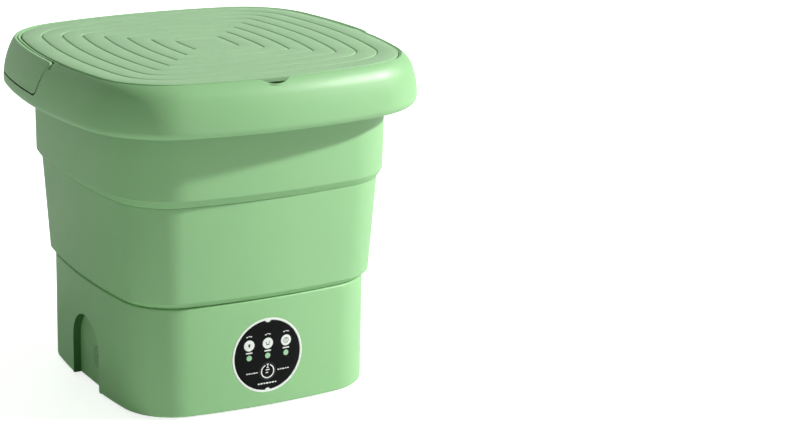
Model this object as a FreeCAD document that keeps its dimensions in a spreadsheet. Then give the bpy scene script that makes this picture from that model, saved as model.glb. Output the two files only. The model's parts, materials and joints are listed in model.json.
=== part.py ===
import FreeCAD, Part
import math
import os

# A portable folding mini washer, standing open. Millimetres. +Z is up, the control panel faces -Y,
# and the origin is the centre of the plane that the feet stand on.
#
# The tub is a rigid base, two rings that telescope down over it and a domed collar, joined by
# thin flexible webs. A geared motor under the tub floor turns the impeller.

Vector = FreeCAD.Vector
Rotation = FreeCAD.Rotation
X_AXIS = Vector(1, 0, 0)
Y_AXIS = Vector(0, 1, 0)
Z_AXIS = Vector(0, 0, 1)
ORIGIN = Vector(0, 0, 0)

os.makedirs("parts", exist_ok=True)
doc = FreeCAD.newDocument("portable_mini_washer")


# ---------------------------------------------------------------- driving dimensions

SIZES = {
    # outlines: half width, corner radius and side radius of each rounded square
    "base_half": 104.5,
    "base_corner": 44,
    "base_side": 503,
    "middle_half": 107.4,
    "middle_corner": 40,
    "middle_side": 506,
    "upper_half": 117.4,
    "upper_corner": 53,
    "upper_side": 520,
    "collar_half": 142.8,
    "collar_corner": 71,
    "collar_side": 405,
    # levels
    "foot_drop": 1.5,
    "base_top": 86.8,
    "middle_bottom": 91,
    "middle_top": 166,
    "upper_bottom": 171.5,
    "upper_top": 238,
    "collar_bottom": 223,
    "ledge_top": 256.2,
    "lid_bottom": 257.2,
    "lid_top": 260.8,
    "floor_top": 78,
    # walls
    "base_wall": 2.4,
    "ring_wall": 1.6,
    "collar_wall": 2.4,
    "floor_plate": 3,
    "cover_plate": 3,
    "middle_flare": 5.2,
    "upper_flare": 0.7,
    # collar dome
    "hem_radius": 6,
    "dome_radius": 61.8,
    "shoulder_radius": 21,
    "shoulder_start": 20,
    "shoulder_end": 62,
    "sleeve_gap": 0.8,
    "sleeve_bottom": 229,
    "rebate_half": 128.4,
    "rebate_wall": 2.2,
    # lid
    "lid_gap": 0.6,
    "groove_count": 7,
    "groove_pitch": 15.6,
    "groove_width": 2,
    "groove_depth": 1.2,
    # handle
    "handle_wall": 3.2,
    "handle_low": 234.6,
    "handle_high": 260.6,
    "handle_gap": 0.8,
    "handle_top_y": -13,
    "handle_foot_y": -2,
    "handle_foot_radius": 8,
    "ear_radius": 4.5,
    "swing_radius": 12.2,
    "ear_reach": 9.8,
    "pivot_y": -4.5,
    "pivot_z": 252,
    "pin_radius": 2,
    # control panel
    "panel_z": 42,
    "panel_radius": 29.5,
    "window_radius": 27.6,
    "button_radius": 6.8,
    "button_drop": 12.8,
    # niche and drain
    "niche_y": 0,
    "niche_half": 25,
    "niche_top": 57,
    "niche_depth": 7,
    "drain_y": -13,
    "drain_z": 26,
    "drain_radius": 6,
    # drive
    "impeller_radius": 62,
    "shaft_radius": 4,
    "gear_module": 1,
    "gear_teeth": 48,
    "pinion_teeth": 12,
    "gear_bottom": 49,
    "gear_top": 56,
    "motor_radius": 20,
    "motor_bottom": 8,
    "motor_top": 44,
    "running_gap": 0.06,
}

sheet = doc.addObject("Spreadsheet::Sheet", "sizes")
for row, (alias, number) in enumerate(SIZES.items(), start=1):
    sheet.set(f"A{row}", alias)
    sheet.set(f"B{row}", str(number))
    sheet.setAlias(f"B{row}", alias)
doc.recompute()


class Size:
    """A length together with the sheet formula that gives it, so that one value both places a
    shape and binds a property."""

    def __init__(self, number, formula=None):
        self.number = float(number)
        self.formula = formula or repr(float(number))

    def __add__(self, other):
        other = as_size(other)
        return Size(self.number + other.number, f"({self.formula} + {other.formula})")

    def __sub__(self, other):
        other = as_size(other)
        return Size(self.number - other.number, f"({self.formula} - {other.formula})")

    def __rsub__(self, other):
        return as_size(other) - self

    def __mul__(self, factor):
        return Size(self.number * factor, f"({self.formula} * {factor})")

    def __neg__(self):
        return Size(-self.number, f"(0 - {self.formula})")

    __radd__ = __add__


def as_size(value):
    """The value itself if it is a Size, or else a Size that holds the plain number."""
    return value if isinstance(value, Size) else Size(value)


def cell(alias):
    """The sheet's value for an alias, as a Size."""
    return Size(float(sheet.get(alias)), f"sizes.{alias}")


def number(alias):
    """The sheet's value for an alias, as a plain number."""
    return float(sheet.get(alias))


# ---------------------------------------------------------------- bound solids

nodes = []


def keep(label, thing):
    """Registers a finished sub-part under the label that names its file."""
    thing.Label = label
    nodes.append(thing)
    return thing


def bind_place(thing, place, rotation=Rotation()):
    """Puts a solid at a place whose three coordinates stay bound to the sheet."""
    sizes = [as_size(value) for value in place]
    thing.Placement = FreeCAD.Placement(Vector(*[size.number for size in sizes]), rotation)
    for axis, size in zip("xyz", sizes):
        thing.setExpression(f"Placement.Base.{axis}", size.formula)
    return thing


TURN = {
    "z": Rotation(),
    "x": Rotation(Y_AXIS, 90),
    "-x": Rotation(Y_AXIS, -90),
    "y": Rotation(X_AXIS, -90),
    "-y": Rotation(X_AXIS, 90),
}


def cylinder(radius, length, place, along="z"):
    """A cylinder from a place, along one axis."""
    thing = doc.addObject("Part::Cylinder", "cylinder")
    thing.setExpression("Radius", as_size(radius).formula)
    thing.setExpression("Height", as_size(length).formula)
    return bind_place(thing, place, TURN[along])


def cone(first_radius, last_radius, length, place, along="z"):
    """A cone from a place, along one axis."""
    thing = doc.addObject("Part::Cone", "cone")
    thing.setExpression("Radius1", as_size(first_radius).formula)
    thing.setExpression("Radius2", as_size(last_radius).formula)
    thing.setExpression("Height", as_size(length).formula)
    return bind_place(thing, place, TURN[along])


def block(sides, place):
    """A block whose lowest corner is at a place."""
    thing = doc.addObject("Part::Box", "block")
    for name, side in zip(("Length", "Width", "Height"), sides):
        thing.setExpression(name, as_size(side).formula)
    return bind_place(thing, place)


def tube(outer_radius, inner_radius, length, place, along="z"):
    """A plain round tube."""
    return cut(
        cylinder(outer_radius, length, place, along),
        cylinder(inner_radius, length, place, along),
    )


def fuse(*things):
    """One solid from touching solids, or a group of solids that stand apart."""
    thing = doc.addObject("Part::MultiFuse", "fuse")
    thing.Shapes = list(things)
    return thing


def cut(base, *tools):
    """The base less every tool."""
    thing = doc.addObject("Part::Cut", "cut")
    thing.Base = base
    thing.Tool = tools[0] if len(tools) == 1 else fuse(*tools)
    return thing


def common(first, second):
    """What two solids share."""
    thing = doc.addObject("Part::Common", "common")
    thing.Base = first
    thing.Tool = second
    return thing


def fixed(shape, name="shape"):
    """A document object that holds a shape made with Part's own functions."""
    thing = doc.addObject("Part::Feature", name)
    thing.Shape = shape
    return thing


# ---------------------------------------------------------------- rounded square outlines


class Outline:
    """A rounded square with bowed sides: four flat side arcs tangent to four corner arcs.
    Parallel outlines share the arc centres and differ only in radius."""

    def __init__(self, name):
        self.half = number(f"{name}_half")
        self.corner_radius = number(f"{name}_corner")
        self.side_radius = number(f"{name}_side")
        self.side_centre = self.half - self.side_radius
        reach = self.side_radius - self.corner_radius
        root = math.sqrt(8 * reach ** 2 - 4 * self.side_centre ** 2)
        self.corner_centre = (2 * self.side_centre + root) / 4
        self.side_turn = math.degrees(
            math.atan2(self.corner_centre, self.corner_centre - self.side_centre)
        )

    def arcs(self):
        """The centre, radius, first angle and span of each of the eight arcs."""
        for quarter in range(4):
            spin = Rotation(Z_AXIS, 90 * quarter)
            side = spin.multVec(Vector(self.side_centre, 0, 0))
            yield side, self.side_radius, 90 * quarter - self.side_turn, 2 * self.side_turn
            corner = spin.multVec(Vector(self.corner_centre, self.corner_centre, 0))
            yield corner, self.corner_radius, 90 * quarter + self.side_turn, 90 - 2 * self.side_turn

    def face(self, half, level):
        """The flat face inside the parallel outline of the given half width."""
        edges = []
        for centre, radius, first, span in self.arcs():
            circle = Part.Circle(centre + Vector(0, 0, level), Z_AXIS, radius + half - self.half)
            edges.append(circle.toShape(math.radians(first), math.radians(first + span)))
        return Part.Face(Part.Wire(Part.__sortEdges__(edges)))

    def slab(self, half, bottom, top):
        """A straight-sided slab inside the parallel outline."""
        return self.face(half, bottom).extrude(Vector(0, 0, top - bottom))

    def ring(self, profile):
        """A profile, drawn in the XZ plane where it crosses the X axis, carried round the outline."""
        pieces = []
        for centre, radius, first, span in self.arcs():
            piece = profile.copy()
            piece.translate(Vector(radius - self.half, 0, 0))
            piece = piece.revolve(ORIGIN, Z_AXIS, span)
            piece.rotate(ORIGIN, Z_AXIS, first)
            piece.translate(centre)
            pieces.append(piece)
        return pieces[0].multiFuse(pieces[1:]).removeSplitter().Solids[0]


def upright(point):
    """A point of a profile, given as distance outward and height."""
    return Vector(point[0], 0, point[1])


def polygon(points):
    """A flat profile with straight sides."""
    corners = [upright(point) for point in points]
    return Part.Face(Part.makePolygon(corners + corners[:1]))


def on_circle(centre, radius, degrees):
    """A point on a circle in the profile's plane."""
    angle = math.radians(degrees)
    return centre[0] + radius * math.cos(angle), centre[1] + radius * math.sin(angle)


def bow(centre, radius, first, last):
    """An arc in the profile's plane."""
    spots = [on_circle(centre, radius, turn) for turn in (first, (first + last) / 2, last)]
    return Part.Arc(*[upright(spot) for spot in spots]).toShape()


def line(first, last):
    """A straight edge in the profile's plane."""
    return Part.LineSegment(upright(first), upright(last)).toShape()


def prism_x(points, half_length, corner=None, corner_radius=0):
    """A prism along X from a YZ outline, with one of its long edges rounded if asked."""
    vertices = [Vector(-half_length, spot[0], spot[1]) for spot in points]
    solid = Part.Face(Part.makePolygon(vertices + vertices[:1])).extrude(X_AXIS * 2 * half_length)
    if corner is None:
        return solid
    wanted = [
        edge
        for edge in solid.Edges
        if abs(edge.CenterOfMass.y - corner[0]) < 0.01 and abs(edge.CenterOfMass.z - corner[1]) < 0.01
    ]
    return solid.makeFillet(corner_radius, wanted)


base_outline = Outline("base")
middle_outline = Outline("middle")
upper_outline = Outline("upper")
collar_outline = Outline("collar")


# ---------------------------------------------------------------- places shared by several sub-parts

BASE_EDGE = 1.6
JACK_RADIUS = 5.4
JACK_HEIGHT = 20
POST_SPREAD = 72
POST_RADIUS = 4.5
SCREW_RADIUS = 1.5
FOOT_SPREAD = 70
FOOT_OFFSET = 14
SHAFT_SPACING = number("gear_module") * (number("gear_teeth") + number("pinion_teeth")) / 2
HOUSING_SCREWS = [(-26, -20), (26, -20), (-25, 41), (25, 41)]
HOUSING_TOP = 60
HUB_RADIUS = 13
HUB_BOTTOM = 57
PLATE_THICK = 2.5
BOARD_SCREWS = [(40, -60), (80, -60), (40, -22), (80, -22)]
DRAIN_X = -82
DRAIN_BEND = 11


# ---------------------------------------------------------------- base and its covers


def niche_arch(half, top, first_x, last_x):
    """The arched space of the niche, from the underside up, between two planes across X."""
    arch_centre = top - half
    low = number("foot_drop") - 1
    slot = Part.makeBox(last_x - first_x, 2 * half, arch_centre - low)
    slot.translate(Vector(first_x, number("niche_y") - half, low))
    crown_start = Vector(first_x, number("niche_y"), arch_centre)
    crown = Part.makeCylinder(half, last_x - first_x, crown_start, X_AXIS)
    return slot.fuse(crown)


def make_base_shell():
    """The rigid lower wall, with the arched niche, the panel seat and the socket hole."""
    half = number("base_half")
    wall = number("base_wall")
    bottom = number("foot_drop")
    top = number("base_top")
    edge = BASE_EDGE
    profile = polygon([
        (half - wall, bottom), (half - edge, bottom), (half, bottom + edge),
        (half, top - edge), (half - edge, top), (half - wall, top),
    ])
    solid_base = base_outline.slab(half, bottom, top)
    back_x = number("niche_depth") - half
    niche_half = number("niche_half")
    niche_top = number("niche_top")
    pocket = niche_arch(niche_half + wall, niche_top + wall, -half - 1, back_x + wall)
    shell = base_outline.ring(profile).fuse(pocket.common(solid_base))
    shell = shell.cut(niche_arch(niche_half, niche_top, -half - 2, back_x))
    shell = shell.removeSplitter().Solids[0]
    panel_hole = cylinder(
        cell("panel_radius"), 20, (0, -cell("base_half") - 5, cell("panel_z")), "y"
    )
    jack_hole = cylinder(JACK_RADIUS, 20, (0, cell("base_half") - 10, JACK_HEIGHT), "y")
    drain_hole = cylinder(
        cell("drain_radius") - 0.05, 20,
        (-cell("base_half"), cell("drain_y"), cell("drain_z")), "x",
    )
    return keep("base_shell", cut(fixed(shell), panel_hole, jack_hole, drain_hole))


def corners(spread):
    """The four corners of a square about the origin."""
    return [(spread, spread), (-spread, spread), (-spread, -spread), (spread, -spread)]


def make_tub_floor():
    """The floor of the tub, with the shaft bearing tube, the drain hole and four screw posts."""
    top = cell("floor_top")
    bottom = top - cell("floor_plate")
    plate = fixed(base_outline.slab(
        number("base_half") - number("base_wall") - 0.05, bottom.number, top.number
    ))
    hub = cylinder(HUB_RADIUS, top + 3 - HUB_BOTTOM, (0, 0, HUB_BOTTOM))
    cover_top = cell("foot_drop") + cell("cover_plate")
    posts = [
        cylinder(POST_RADIUS, bottom - cover_top, (x, y, cover_top))
        for x, y in corners(POST_SPREAD)
    ]
    hanger = [
        cylinder(3.5, bottom - HOUSING_TOP, (x, y, HOUSING_TOP)) for x, y in HOUSING_SCREWS
    ]
    holes = [cylinder(SCREW_RADIUS, 12, (x, y, cover_top)) for x, y in corners(POST_SPREAD)]
    holes += [cylinder(1.2, 6, (x, y, HOUSING_TOP - 1)) for x, y in HOUSING_SCREWS]
    shaft_hole = cylinder(cell("shaft_radius") + 4, 40, (0, 0, HUB_BOTTOM - 5))
    drain_hole = cylinder(cell("drain_radius"), 10, (DRAIN_X, cell("drain_y"), top - 6))
    return keep("tub_floor", cut(fuse(plate, hub, *posts, *hanger), shaft_hole, drain_hole, *holes))


def make_bottom_cover():
    """The plate that closes the machine compartment, with seats for the feet and the screws."""
    bottom = cell("foot_drop")
    plate = base_outline.slab(
        number("base_half") - number("base_wall") - 0.2,
        bottom.number, bottom.number + number("cover_plate"),
    )
    back_x = number("niche_depth") - number("base_half")
    notch = niche_arch(
        number("niche_half") + number("base_wall") + 0.2, number("niche_top"),
        -number("base_half") - 2, back_x + number("base_wall") + 0.2,
    )
    tools = []
    for x, y in corners(POST_SPREAD):
        tools.append(cylinder(SCREW_RADIUS + 0.2, 10, (x, y, 0)))
        tools.append(cylinder(3.4, bottom + 1.4, (x, y, 0)))
    for x, y in foot_places():
        tools.append(cylinder(9.1, bottom + 1.5, (x, y, 0)))
    posts = [tube(3, 1, 8, (x, y, bottom + 2)) for x, y in BOARD_SCREWS]
    cover = cut(fixed(plate.cut(notch)), *tools)
    return keep("bottom_cover", fuse(cover, *posts))


def foot_places():
    """The centres of the four rubber feet, just inside the cover screws."""
    near = FOOT_SPREAD - FOOT_OFFSET
    return [(near, FOOT_SPREAD), (-near, FOOT_SPREAD), (-near, -FOOT_SPREAD), (near, -FOOT_SPREAD)]


def make_feet():
    """Four round rubber pads let into the bottom cover."""
    pads = [
        cut(cylinder(9, cell("foot_drop") + 1.5, (x, y, 0)), cylinder(5, 0.6, (x, y, 0)))
        for x, y in foot_places()
    ]
    return keep("rubber_feet", fuse(*pads))


def pan_screw(x, y, head_bottom, shank_radius, shank_length, head_radius, head_height):
    """A screw that points up, with a cross recess in its head."""
    head = cylinder(head_radius, head_height, (x, y, head_bottom))
    shank = cylinder(shank_radius, shank_length, (x, y, as_size(head_bottom) + head_height))
    slots = [
        block((head_radius * 1.1, 0.6, 0.7), (x - head_radius * 0.55, y - 0.3, head_bottom)),
        block((0.6, head_radius * 1.1, 0.7), (x - 0.3, y - head_radius * 0.55, head_bottom)),
    ]
    return cut(fuse(head, shank), *slots)


def make_cover_screws():
    """Four screws through the bottom cover into the floor's posts."""
    seat = cell("foot_drop") + 0.2
    screws = [
        pan_screw(x, y, seat, SCREW_RADIUS, 11, 3.1, 1.2) for x, y in corners(POST_SPREAD)
    ]
    return keep("cover_screws", fuse(*screws))


# ---------------------------------------------------------------- drive


def oblong(radius_main, radius_motor, bottom, height):
    """A rounded body round both shafts."""
    return fuse(
        cylinder(radius_main, height, (0, 0, bottom)),
        cylinder(radius_motor, height, (0, SHAFT_SPACING, bottom)),
        block((radius_motor * 2, SHAFT_SPACING, height), (-radius_motor, 0, bottom)),
    )


def make_gearbox_plate():
    """The plate under the gears that carries the motor and the lower bush."""
    bottom = cell("motor_top")
    ears = [cylinder(5, PLATE_THICK, (x, y, bottom)) for x, y in HOUSING_SCREWS]
    bars = [block((52, 8, PLATE_THICK), (-26, y - 4, bottom)) for y in (-20, 41)]
    holes = [cylinder(1.6, 8, (x, y, bottom - 2)) for x, y in HOUSING_SCREWS]
    holes.append(cylinder(7, 8, (0, 0, bottom - 2)))
    holes.append(cylinder(4.2, 8, (0, SHAFT_SPACING, bottom - 2)))
    holes += [cylinder(1.2, 8, (x, y, bottom - 2)) for x, y in motor_screw_places()]
    return keep("gearbox_plate", cut(fuse(oblong(30, 24, bottom, PLATE_THICK), *ears, *bars), *holes))


def make_gearbox_housing():
    """The cover over the gears, open at the bottom and bored for the bearing tube."""
    bottom = cell("motor_top") + PLATE_THICK
    height = HOUSING_TOP - bottom.number
    posts = [cylinder(4.5, height, (x, y, bottom)) for x, y in HOUSING_SCREWS]
    cavity = oblong(27.5, 21.5, bottom - 1, height - 1)
    holes = [cylinder(1.6, height + 4, (x, y, bottom - 2)) for x, y in HOUSING_SCREWS]
    holes.append(cylinder(HUB_RADIUS + 0.1, 20, (0, 0, bottom + 4)))
    return keep(
        "gearbox_housing", cut(fuse(oblong(30, 24, bottom, height), *posts), cavity, *holes)
    )


def make_gearbox_screws():
    """Four screws that hang the gearbox from the floor."""
    screws = [
        pan_screw(x, y, cell("motor_top") - 1.5, 1.15, 20, 2.8, 1.5) for x, y in HOUSING_SCREWS
    ]
    return keep("gearbox_screws", fuse(*screws))


def motor_screw_places():
    """The two screws that hold the motor to the plate."""
    return [(-10, SHAFT_SPACING), (10, SHAFT_SPACING)]


def make_motor_can():
    """The motor's drawn steel can, closed at the top."""
    bottom = cell("motor_bottom")
    length = cell("motor_top") - bottom
    can = cylinder(cell("motor_radius"), length, (0, SHAFT_SPACING, bottom))
    inside = cylinder(cell("motor_radius") - 1, length - 1.2, (0, SHAFT_SPACING, bottom - 0.01))
    shaft_hole = cylinder(2.1, 10, (0, SHAFT_SPACING, cell("motor_top") - 5))
    holes = [cylinder(1.1, 6, (x, y, cell("motor_top") - 3)) for x, y in motor_screw_places()]
    return keep("motor_can", cut(can, inside, shaft_hole, *holes))


def make_motor_end_cap():
    """The motor's plastic end cap, with the shaft's lower bearing."""
    bottom = cell("motor_bottom")
    disc = cylinder(cell("motor_radius") - 1.04, 3, (0, SHAFT_SPACING, bottom))
    boss = cylinder(5, 2.5, (0, SHAFT_SPACING, bottom - 2.5))
    bore = cylinder(2.1, 6, (0, SHAFT_SPACING, bottom - 1.5))
    slots = [
        block((1, 5, 6), (x, SHAFT_SPACING - 2.5, bottom - 1)) for x in (-13, 12)
    ]
    return keep("motor_end_cap", cut(fuse(disc, boss), bore, *slots))


def make_motor_terminals():
    """Two brass tabs in the end cap."""
    tabs = [
        block((0.8, 4.6, 6), (x, SHAFT_SPACING - 2.3, cell("motor_bottom") - 3)) for x in (-12.9, 12.1)
    ]
    return keep("motor_terminals", fuse(*tabs))


def make_motor_magnets():
    """Two curved magnets inside the can."""
    radius = cell("motor_radius")
    bottom = cell("motor_bottom") + 6
    ring = cut(
        cylinder(radius - 1, 26, (0, SHAFT_SPACING, bottom)),
        cylinder(radius - 4, 26, (0, SHAFT_SPACING, bottom)),
    )
    gap = block((50, 12, 40), (-25, SHAFT_SPACING - 6, bottom - 4))
    return keep("motor_magnets", cut(ring, gap))


def make_motor_screws():
    """Two short screws from the gearbox plate into the can."""
    top = cell("motor_top")
    screws = [
        fuse(
            cylinder(1.05, PLATE_THICK + 1, (x, y, top - 1)),
            cylinder(2.1, 1, (x, y, top + PLATE_THICK)),
        )
        for x, y in motor_screw_places()
    ]
    return keep("motor_screws", fuse(*screws))


def make_motor_shaft():
    """The motor's shaft."""
    bottom = cell("motor_bottom") - 1
    shaft = cylinder(2, cell("gear_top") + 1 - bottom, (0, SHAFT_SPACING, bottom))
    return keep("motor_shaft", shaft)


def make_motor_armature():
    """The wound core on the motor's shaft, with its three poles and the commutator."""
    bottom = cell("motor_bottom") + 7
    core = cylinder(15, 24, (0, SHAFT_SPACING, bottom))
    slots = []
    for turn in (30, 150, 270):
        slot_x = 13 * math.cos(math.radians(turn))
        slot_y = 13 * math.sin(math.radians(turn))
        slots.append(cylinder(4, 30, (slot_x, SHAFT_SPACING + slot_y, bottom - 2)))
    commutator = cylinder(4.5, 3, (0, SHAFT_SPACING, bottom - 3))
    bore = cylinder(2, 40, (0, SHAFT_SPACING, bottom - 6))
    return keep("motor_armature", cut(fuse(core, commutator), bore, *slots))


def gear_shape(teeth, bore, bottom, height, first_turn):
    """A spur gear about the Z axis, with straight-flanked teeth and a little backlash."""
    module = number("gear_module")
    pitch_radius = module * teeth / 2
    root = pitch_radius - 1.25 * module
    tip = pitch_radius + 0.9 * module
    step = 360 / teeth
    half_pitch_tooth = 0.23 * step
    slope = math.degrees(math.tan(math.radians(20)) * module / pitch_radius)
    points = []
    for tooth in range(teeth):
        middle = first_turn + tooth * step
        for radius, half_turn in (
            (root, -half_pitch_tooth - slope), (tip, -half_pitch_tooth + slope),
            (tip, half_pitch_tooth - slope), (root, half_pitch_tooth + slope),
        ):
            angle = math.radians(middle + half_turn)
            points.append(Vector(radius * math.cos(angle), radius * math.sin(angle), bottom))
    blank = Part.Face(Part.makePolygon(points + points[:1])).extrude(Vector(0, 0, height))
    return blank.cut(Part.makeCylinder(bore, height, Vector(0, 0, bottom)))


def make_output_gear():
    """The large gear on the impeller's shaft."""
    bottom = number("gear_bottom")
    teeth = int(number("gear_teeth"))
    bore = number("shaft_radius") + 0.04
    gear = gear_shape(teeth, bore, bottom, number("gear_top") - bottom, 90)
    web = tube(18, 8, 2, (0, 0, bottom))
    upper_web = tube(18, 8, 2, (0, 0, cell("gear_top") - 2))
    return keep("output_gear", cut(fixed(gear), web, upper_web))


def make_motor_pinion():
    """The small gear on the motor's shaft, one tooth gap facing the large gear's tooth."""
    bottom = number("gear_bottom")
    teeth = int(number("pinion_teeth"))
    gear = gear_shape(teeth, 2, bottom, number("gear_top") - bottom, 270 + 180 / teeth)
    gear.translate(Vector(0, SHAFT_SPACING, 0))
    return keep("motor_pinion", fixed(gear))


def make_output_shaft():
    """The impeller's shaft."""
    bottom = cell("motor_top") - 2
    shaft = cylinder(cell("shaft_radius"), cell("floor_top") + 12 - bottom, (0, 0, bottom))
    hole = cylinder(1.2, 10, (0, 0, cell("floor_top") + 2.5))
    return keep("output_shaft", cut(shaft, hole))


def flanged_bush(bottom, height, outer_radius, flange_bottom):
    """A bronze bush with a running fit on the impeller's shaft."""
    body = cylinder(outer_radius, height, (0, 0, bottom))
    flange = cylinder(outer_radius + 2, 1.2, (0, 0, flange_bottom))
    bore = cylinder(cell("shaft_radius") + cell("running_gap"), height + 10, (0, 0, as_size(bottom) - 5))
    return cut(fuse(body, flange), bore)


def make_bushes():
    """The lower bush in the gearbox plate and the upper bush in the floor's bearing tube."""
    plate_bottom = cell("motor_top")
    keep("lower_bush", flanged_bush(plate_bottom, PLATE_THICK + 1, 7, plate_bottom - 1.2))
    tube_bottom = cell("floor_top") - 12
    bush = tube(
        cell("shaft_radius") + 4, cell("shaft_radius") + cell("running_gap"), 8, (0, 0, tube_bottom)
    )
    keep("upper_bush", bush)


def make_shaft_seal():
    """The rubber lip seal above the upper bush."""
    bottom = cell("floor_top") - 4
    outer = cylinder(cell("shaft_radius") + 4, 6, (0, 0, bottom))
    lip_gap = tube(cell("shaft_radius") + 2.6, cell("shaft_radius") + 1.2, 4, (0, 0, bottom + 2))
    bore = cylinder(cell("shaft_radius") + cell("running_gap"), 20, (0, 0, bottom - 5))
    return keep("shaft_seal", cut(outer, bore, lip_gap))


# ---------------------------------------------------------------- impeller

VANES = 6
IMPELLER_LIFT = 3.5


def make_impeller():
    """A low dished disc with curved-topped vanes and a central hub."""
    bottom = number("floor_top") + IMPELLER_LIFT
    radius = number("impeller_radius")
    dish = Part.Face(Part.Wire([
        line((3, bottom), (radius - 1.5, bottom)),
        bow((radius - 1.5, bottom + 1.5), 1.5, -90, 90),
        bow((radius - 1.5, bottom + 93), 90, 270, 250.5),
        line(on_circle((radius - 1.5, bottom + 93), 90, 250.5), (12, bottom + 13)),
        line((12, bottom + 13), (3, bottom + 13)),
        line((3, bottom + 13), (3, bottom)),
    ])).revolve(ORIGIN, Z_AXIS, 360)
    shape = dish
    for index in range(VANES):
        vane = Part.Face(Part.Wire([
            line((9, bottom + 1), (radius - 7, bottom + 1)),
            line((radius - 7, bottom + 1), (radius - 9, bottom + 7)),
            Part.Arc(
                upright((radius - 9, bottom + 7)), upright((34, bottom + 11.5)), upright((9, bottom + 13))
            ).toShape(),
            line((9, bottom + 13), (9, bottom + 1)),
        ])).extrude(Y_AXIS * 4)
        vane.translate(Y_AXIS * -2)
        vane.rotate(ORIGIN, Z_AXIS, index * 360 / VANES)
        shape = shape.fuse(vane)
    shape = shape.cut(Part.makeCylinder(number("shaft_radius") + 0.04, 30, Vector(0, 0, bottom - 1)))
    shape = shape.cut(Part.makeCylinder(5.5, 10, Vector(0, 0, number("floor_top") + 12)))
    return keep("impeller", fixed(shape.removeSplitter()))


def make_impeller_screw():
    """The screw that holds the impeller on its shaft."""
    top = cell("floor_top") + 12
    return keep("impeller_screw", fuse(
        cylinder(1.15, 8, (0, 0, top - 8)), cylinder(5, 1.6, (0, 0, top))
    ))


def make_impeller_cap():
    """The snap-in cap over the impeller's screw."""
    bottom = cell("floor_top") + IMPELLER_LIFT + 13
    outer = fuse(cylinder(9, 1.5, (0, 0, bottom)), cone(9, 5, 2.5, (0, 0, bottom + 1.5)))
    return keep("impeller_cap", outer)


# ---------------------------------------------------------------- electronics

BOARD_LOW = (34, -66)
BOARD_SIDES = (52, 50)
BOARD_THICK = 1.6


def board_bottom():
    """The level of the main board's underside, on the cover's posts."""
    return cell("foot_drop") + 10


def make_main_board():
    """The driver board with its four screw holes."""
    plate = block((*BOARD_SIDES, BOARD_THICK), (*BOARD_LOW, board_bottom()))
    holes = [cylinder(1.2, 5, (x, y, board_bottom() - 1)) for x, y in BOARD_SCREWS]
    return keep("main_board", cut(plate, *holes))


def make_board_components():
    """Capacitors, driver chips, a fuse block and two connectors on the main board."""
    level = board_bottom() + BOARD_THICK
    pieces = [cylinder(4, 11, (x, -50, level)) for x in (50, 60)]
    pieces += [block((10, 4.5, 14), (x, -34, level)) for x in (48, 62)]
    pieces += [block((8, 5, 1.5), (x, -43, level)) for x in (68, 40)]
    pieces += [block((10, 5.5, 6), (48, y, level)) for y in (-26, -64)]
    return keep("board_components", fuse(*pieces))


def make_board_screws():
    """Four screws that hold the main board to the cover's posts."""
    top = board_bottom() + BOARD_THICK
    screws = [
        fuse(cylinder(0.98, 6, (x, y, top - 6)), cylinder(2.2, 1.3, (x, y, top)))
        for x, y in BOARD_SCREWS
    ]
    return keep("board_screws", fuse(*screws))


def make_dc_jack():
    """The round power socket in the back wall and its centre contact."""
    back = cell("base_half")
    nose = cylinder(JACK_RADIUS - 0.05, 11, (0, back - 11, JACK_HEIGHT), "y")
    body = block((13, 9, 12), (-6.5, back - 19, JACK_HEIGHT - 6))
    bore = cylinder(2.75, 9.5, (0, back - 9.5, JACK_HEIGHT), "y")
    keep("dc_jack", cut(fuse(nose, body), bore))
    keep("dc_jack_contact", cylinder(1, 8.5, (0, back - 9.5, JACK_HEIGHT), "y"))


# ---------------------------------------------------------------- control panel

ICON_PLACES = ((-15.5, 9.5), (0, 9.5), (15.5, 9.5))
LENS_PLACES = ((-15.5, -0.4), (0, -0.4), (15.5, -0.4))
ICON_RADIUS = 4.3
LENS_RADIUS = 2.4
SWITCH_SIDE = 6


def front_skin(inner_offset, outer_offset):
    """A slab of the front wall's own curvature, between two offsets from its outer face."""
    half = number("base_half")
    low = number("panel_z") - 35
    high = number("panel_z") + 35
    outer = base_outline.slab(half + outer_offset, low, high)
    inner = base_outline.slab(half + inner_offset, low, high)
    front = Part.makeBox(120, 60, 80, Vector(-60, -half - 20, low - 5))
    return fixed(outer.cut(inner).common(front))


def panel_rod(radius, across, up):
    """A rod along Y through the panel, placed from the panel's centre."""
    start = -cell("base_half") - 10
    return cylinder(radius, 40, (across, start, cell("panel_z") + up), "y")


def panel_bar(width, height, across, up):
    """A flat bar along Y through the panel, centred on a place on its face."""
    return block(
        (width, 40, height),
        (across - width / 2, -cell("base_half") - 10, cell("panel_z") + (up - height / 2)),
    )


def make_panel_ring():
    """The white bezel ring with its skirt and its two small locating tabs."""
    radius = cell("panel_radius") - 0.1
    ring = cut(panel_rod(radius, 0, 0), panel_rod(cell("window_radius"), 0, 0))
    tabs = [panel_bar(3.4, 2.2, 0, sign * (number("window_radius") - 0.6)) for sign in (-1, 1)]
    bezel = common(front_skin(-11, 0.2), ring)
    lugs = common(front_skin(0, 0.2), common(fuse(*tabs), panel_rod(radius, 0, 0)))
    return keep("panel_ring", fuse(bezel, lugs))


def make_panel_window():
    """The black window, bored for the lenses and the power button."""
    disc = common(front_skin(-1.6, 0), panel_rod(cell("window_radius") - 0.05, 0, 0))
    holes = [panel_rod(LENS_RADIUS + 0.05, across, up) for across, up in LENS_PLACES]
    holes.append(panel_rod(cell("button_radius") + 0.3, 0, -number("button_drop")))
    return keep("panel_window", cut(disc, *holes))


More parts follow.
